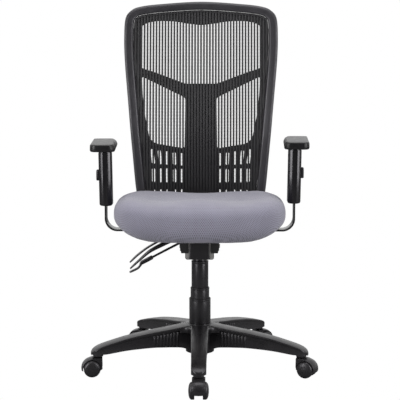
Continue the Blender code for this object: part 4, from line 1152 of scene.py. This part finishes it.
def back_outline():
    """The rim's outer edge as evenly spaced (x, z) points, anticlockwise from bottom centre."""
    # One mirrored point beyond each end keeps the outline level where it crosses the middle.
    below, above = [(-x, z) for x, z in (BACK_HALF_OUTLINE[1], BACK_HALF_OUTLINE[-2])]
    right = [Vector(p) for p in spline([below, *BACK_HALF_OUTLINE, above], 16)[16:-16]]
    loop = right + [Vector((-p.x, p.y)) for p in reversed(right[1:-1])]
    closed = loop + loop[:1]
    lengths = np.cumsum([0.0] + [(b - a).length for a, b in zip(closed, closed[1:])])
    marks = np.linspace(0.0, lengths[-1], RIM_SAMPLES, endpoint=False)
    xs = np.interp(marks, lengths, [p.x for p in closed])
    zs = np.interp(marks, lengths, [p.y for p in closed])
    return [Vector(p) for p in zip(xs, zs)]


def inward_normals(points):
    normals = []
    for i in range(len(points)):
        tangent = (points[(i + 3) % len(points)] - points[i - 3]).normalized()
        normals.append(Vector((-tangent.y, tangent.x)))
    return normals


def rim_width(normal):
    return RIM_TOP_WIDTH + (RIM_SIDE_WIDTH - RIM_TOP_WIDTH) * abs(normal.x)


def inner_outline(extra):
    """The rim's inner edge, moved `extra` further in."""
    points = back_outline()
    return [p + n * (rim_width(n) + extra) for p, n in zip(points, inward_normals(points))]


def on_back(point, depth):
    return (point[0], back_depth(point[0], point[1]) + depth, point[1])


def make_rim():
    points = back_outline()
    rings = []
    for p, n in zip(points, inward_normals(points)):
        width = rim_width(n)
        corners = [(0.0, 0.0075), (0.0022, 0.0030), (0.0068, 0.0006), (0.0078, 0.0013), (0.0090, 0.0008),
                   (width - 0.0060, 0.0012), (width - 0.0022, 0.0020), (width, 0.0052), (width, 0.0235),
                   (width - 0.0040, 0.0250), (0.0075, RIM_THICKNESS), (0.0015, 0.0225), (0.0, 0.0170)]
        rings.append([on_back(p + n * inward, depth) for inward, depth in rounded(corners, 0.0012, 2)])
    bm = bmesh.new()
    skin(bm, rings, closed_path=True)
    piece("rim_moulding", bm, RIM_PLASTIC, "back", "back_rim", sharp=50)


def crossings(outline, axis, value):
    """Where the outline crosses the line on which its `axis` coordinate is `value`."""
    found = []
    for a, b in zip(outline, outline[1:] + outline[:1]):
        if (a[axis] < value) != (b[axis] < value):
            share = (value - a[axis]) / (b[axis] - a[axis])
            found.append(a[1 - axis] + share * (b[1 - axis] - a[1 - axis]))
    return min(found), max(found)


def add_cord(bm, points, half_width, half_depth, across):
    """A four-sided cord along points of the back; `across` is 0 when it is wide in x, 1 in z."""
    rings = []
    for x, z, depth in points:
        y = back_depth(x, z) + depth
        dx, dz = (half_width, 0.0) if across == 0 else (0.0, half_width)
        rings.append([(x - dx, y, z - dz), (x, y - half_depth, z), (x + dx, y, z + dz),
                      (x, y + half_depth, z)])
    skin(bm, rings)


def make_netting():
    """Open mesh: upright ribs of two cords, bound by fine cross threads."""
    outline = inner_outline(0.0010)
    pitch, pair, half_cord, thread_pitch = 0.0096, 0.0014, 0.00145, 0.0046
    bm = bmesh.new()
    ribs = int((max(p[0] for p in outline) - pair) / pitch)
    for k in range(-ribs, ribs + 1):
        x = pitch * k
        low, high = crossings(outline, 0, x)
        steps = max(4, int((high - low) / 0.016))
        heights = np.linspace(low, high, steps + 1)
        for offset in (-pair, pair):
            add_cord(bm, [(x + offset, z, MESH_DEPTH - 0.0003) for z in heights], half_cord, 0.0007, 0)
    bottom, top = min(p[1] for p in outline), max(p[1] for p in outline)
    for z in np.arange(bottom + thread_pitch, top - 0.001, thread_pitch):
        left, right = crossings(outline, 1, z)
        steps = max(4, int((right - left) / 0.0145))
        add_cord(bm, [(x, z, MESH_DEPTH) for x in np.linspace(left, right, steps + 1)], 0.00036, 0.0004, 1)
    thing = piece("mesh_panel", bm, NETTING, "back", "back_mesh", sharp=80)
    welt = make_welt()


def make_welt():
    """The sewn bead that anchors the mesh, just inside the rim."""
    points = back_outline()
    rings = []
    for p, n in zip(points, inward_normals(points)):
        centre = rim_width(n) + 0.0072
        section = arc((centre, MESH_DEPTH - 0.0006), 0.0013, 0, 315, 7)
        rings.append([on_back(p + n * inward, depth) for inward, depth in section])
    bm = bmesh.new()
    skin(bm, rings, closed_path=True)
    return piece("mesh_welt", bm, NETTING, "back", sharp=80)


def carrier_windows():
    """Outlines in (x, z) of the openings in the carrier behind the mesh."""
    crest = [tuple(p) for p in spline([(0.0, 1.0490), (0.045, 1.0540), (0.080, 1.0600), (0.115, 1.0620),
                                       (0.150, 1.0608), (0.176, 1.0555)], 4)]
    upper = crest + [(0.1935, 1.0450), (0.1935, 0.9115), (0.150, 0.8980), (0.052, 0.8610)]
    upper += [(-x, z) for x, z in reversed(upper) if x > 0]
    lower = [(0.0505, 0.8155), (0.0530, 0.6525), (0.104, 0.6617), (0.146, 0.6690), (0.1655, 0.6860),
             (0.175, 0.7330), (0.182, 0.7700), (0.188, 0.8250), (0.191, 0.8840)]
    mirrored = [(-x, z) for x, z in reversed(lower)]
    return [rounded(upper, 0.010, 5), rounded(lower, 0.009, 5), rounded(mirrored, 0.009, 5)]


def carrier_slots():
    slots = []
    for sign in (-1, 1):
        for i, x in enumerate((0.0617, 0.0855, 0.1095, 0.1315, 0.1535)):
            rows = ((x, 0.5965 + 0.0016 * i, 0.6375 + 0.0034 * i, 0.0011 * i, 0.0052),
                    (x, 0.5405 + 0.0006 * i, 0.5860 + 0.0008 * i, 0.0, 0.0052),
                    (0.99 * x, 0.4880, 0.5185, 0.0, 0.0036))
            for foot, low, high, lean, end in rows:
                top = arc((sign * (foot + lean), high - end), end, 0, 180, 10)
                slots.append(top + arc((sign * foot, low + end), end, 180, 360, 10))
    return slots


def flat_plate(outline, holes, thickness, bevel):
    """A plate in the XY plane with bevelled edges, as a bmesh."""
    curve = bpy.data.curves.new("plate", "CURVE")
    curve.dimensions = "2D"
    curve.fill_mode = "BOTH"
    curve.extrude = thickness / 2 - bevel
    curve.bevel_depth = bevel
    curve.bevel_resolution = 2
    curve.offset = -bevel
    for loop in [outline] + holes:
        path = curve.splines.new("POLY")
        path.points.add(len(loop) - 1)
        path.points.foreach_set("co", [c for p in loop for c in (p[0], p[1], 0.0, 1.0)])
        path.use_cyclic_u = True
    holder = bpy.data.objects.new("plate", curve)
    bpy.context.scene.collection.objects.link(holder)
    mesh = bpy.data.meshes.new_from_object(holder.evaluated_get(bpy.context.evaluated_depsgraph_get()))
    bpy.data.objects.remove(holder)
    bm = bmesh.new()
    bm.from_mesh(mesh)
    bmesh.ops.remove_doubles(bm, verts=bm.verts, dist=1e-6)
    return bm


def bend_to_back(bm, depth, spacing):
    """Cut the flat plate into cells and lay it on the back's curved surface."""
    for axis, low, high in ((0, -0.25, 0.25), (1, 0.45, 1.12)):
        normal = Vector((1, 0, 0)) if axis == 0 else Vector((0, 1, 0))
        for level in np.arange(low, high, spacing):
            bmesh.ops.bisect_plane(bm, geom=bm.verts[:] + bm.edges[:] + bm.faces[:], dist=1e-6,
                                   plane_co=normal * level, plane_no=normal)
    for v in bm.verts:
        x, z, out = v.co
        v.co = Vector((x, back_depth(x, z) + depth - out, z))


def make_carrier():
    front, rear = CARRIER_DEPTH
    outline = inner_outline(0.0009)[::2]
    bm = flat_plate([tuple(p) for p in outline], carrier_windows() + carrier_slots(), rear - front, 0.0010)
    bend_to_back(bm, (front + rear) / 2, 0.014)
    add_spine(bm)
    piece("carrier_frame", bm, CARRIER_PLASTIC, "back", "back_carrier", sharp=40)


def add_spine(bm):
    """The thick middle of the carrier, which takes the bracket, with ribs beside it."""
    front, rear = CARRIER_DEPTH
    rings = []
    for z in np.linspace(0.492, 0.845, 26):
        end = min(z - 0.492, 0.845 - z)
        rise = smooth_step(end / 0.012)
        y = back_depth(0.0, z)
        half = 0.046 - 0.004 * (1 - rise)
        back = y + rear + (SPINE_REAR - rear) * rise
        section = [(-half, y + front + 0.004), (half, y + front + 0.004), (half, back - 0.004),
                   (half - 0.004, back), (0.012, back), (0.010, back - 0.0016 * rise),
                   (-0.010, back - 0.0016 * rise), (-0.012, back), (-half + 0.004, back),
                   (-half, back - 0.004)]
        rings.append([(x, yy, z) for x, yy in section])
    skin(bm, rings)


# ------------------------------------------------------------- small CAD nodes


def dress_frame():
    """Give the CAD nodes that still show their materials."""
    steel = ["gas_piston_rod", "gas_thrust_bearing", "gas_release_pin", "tilt_shaft", "recline_shaft",
             "recline_spring"]
    steel += [f"caster_{part}_{name}" for part in ("stem", "axle") for name in CASTER_NAMES]
    plastic = ["gas_guide_bush", "mesh_spline", "arm_pad_plate_left", "arm_pad_plate_right"]
    for names, material in ((steel, BARE_STEEL), (plastic, NYLON), (["seat_board"], PLYWOOD)):
        for name in names:
            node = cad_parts[name]
            node.data.materials.clear()
            node.data.materials.append(material)


# ------------------------------------------------------------ camera and light


def make_camera():
    camera = bpy.data.objects.new("camera", bpy.data.cameras.new("camera"))
    bpy.context.scene.collection.objects.link(camera)
    camera.location = CAMERA_AT
    camera.rotation_euler = Vector(CAMERA_LOOKS).to_track_quat("-Z", "Y").to_euler()
    camera.data.lens = CAMERA_LENS
    camera.data.sensor_width = 36.0
    bpy.context.scene.camera = camera


def make_world():
    """A white studio, a little darker on the side that the camera looks from."""
    world = bpy.data.worlds.new("studio")
    world.use_nodes = True
    bpy.context.scene.world = world
    nodes, links = world.node_tree.nodes, world.node_tree.links
    background = nodes["Background"]
    direction = nodes.new("ShaderNodeTexCoord")
    split = nodes.new("ShaderNodeSeparateXYZ")
    links.new(direction.outputs["Generated"], split.inputs["Vector"])
    ramp = nodes.new("ShaderNodeMapRange")
    ramp.interpolation_type = "SMOOTHSTEP"
    for name, number in (("From Min", -0.9), ("From Max", 0.15), ("To Min", 0.10), ("To Max", 1.0)):
        ramp.inputs[name].default_value = number
    links.new(split.outputs["Y"], ramp.inputs["Value"])
    seen = nodes.new("ShaderNodeLightPath")
    keep = nodes.new("ShaderNodeMath")
    keep.operation = "MAXIMUM"
    links.new(ramp.outputs["Result"], keep.inputs[0])
    links.new(seen.outputs["Is Camera Ray"], keep.inputs[1])
    links.new(keep.outputs["Value"], background.inputs["Strength"])
    background.inputs["Color"].default_value = (1.0, 1.0, 1.0, 1.0)


def make_lights():
    panels = (
        # name, centre, looks at, width, height, power
        ("key_panel", (-1.9, -1.7, 1.25), (0.0, 0.0, 0.6), 1.0, 2.2, 54.0),
        ("fill_panel", (2.0, -1.5, 1.20), (0.0, 0.0, 0.6), 1.0, 2.2, 50.0),
        ("top_panel", (0.0, -0.2, 3.0), (0.0, 0.0, 0.4), 1.8, 1.8, 28.0),
    )
    for name, centre, target, width, height, power in panels:
        light = bpy.data.lights.new(name, "AREA")
        light.shape = "RECTANGLE"
        light.size, light.size_y, light.energy = width, height, power
        holder = bpy.data.objects.new(name, light)
        bpy.context.scene.collection.objects.link(holder)
        holder.location = centre
        holder.rotation_euler = (Vector(target) - Vector(centre)).to_track_quat("-Z", "Y").to_euler()


def make_floor():
    """A grey floor for the light it sends back, which the camera itself sees as plain white."""
    bm = bmesh.new()
    skin(bm, [[(-30, -30, z), (30, -30, z), (30, 60, z), (-30, 60, z)] for z in (-0.02, 0.0)])
    mesh = bpy.data.meshes.new("floor")
    bm.to_mesh(mesh)
    bm.free()
    material = bpy.data.materials.new("floor")
    material.use_nodes = True
    nodes, links = material.node_tree.nodes, material.node_tree.links
    shader = nodes["Principled BSDF"]
    shader.inputs["Base Color"].default_value = (FLOOR_ALBEDO, FLOOR_ALBEDO, FLOOR_ALBEDO, 1.0)
    shader.inputs["Roughness"].default_value = 0.9
    shader.inputs["Specular IOR Level"].default_value = 0.0
    glow = nodes.new("ShaderNodeEmission")
    seen = nodes.new("ShaderNodeLightPath")
    mix = nodes.new("ShaderNodeMixShader")
    links.new(seen.outputs["Is Camera Ray"], mix.inputs["Fac"])
    links.new(shader.outputs["BSDF"], mix.inputs[1])
    links.new(glow.outputs["Emission"], mix.inputs[2])
    links.new(mix.outputs["Shader"], nodes["Material Output"].inputs["Surface"])
    mesh.materials.append(material)
    floor = bpy.data.objects.new("floor", mesh)
    bpy.context.scene.collection.objects.link(floor)


def main():
    make_camera()
    make_world()
    make_lights()
    make_floor()
    make_base()
    for name, angle, heading in zip(CASTER_NAMES, leg_angles(), CASTER_HEADINGS):
        make_caster(name, angle, heading)
    make_column()
    make_housing()
    make_seat_plate()
    make_back_bracket()
    for name, (y, rows) in LEVERS.items():
        make_lever(name, y, rows)
    make_cushion()
    for side, sign in (("left", -1), ("right", 1)):
        make_arm(side, sign)
    make_rim()
    make_carrier()
    make_netting()
    dress_frame()
    bpy.context.scene.view_settings.view_transform = "Standard"


main()
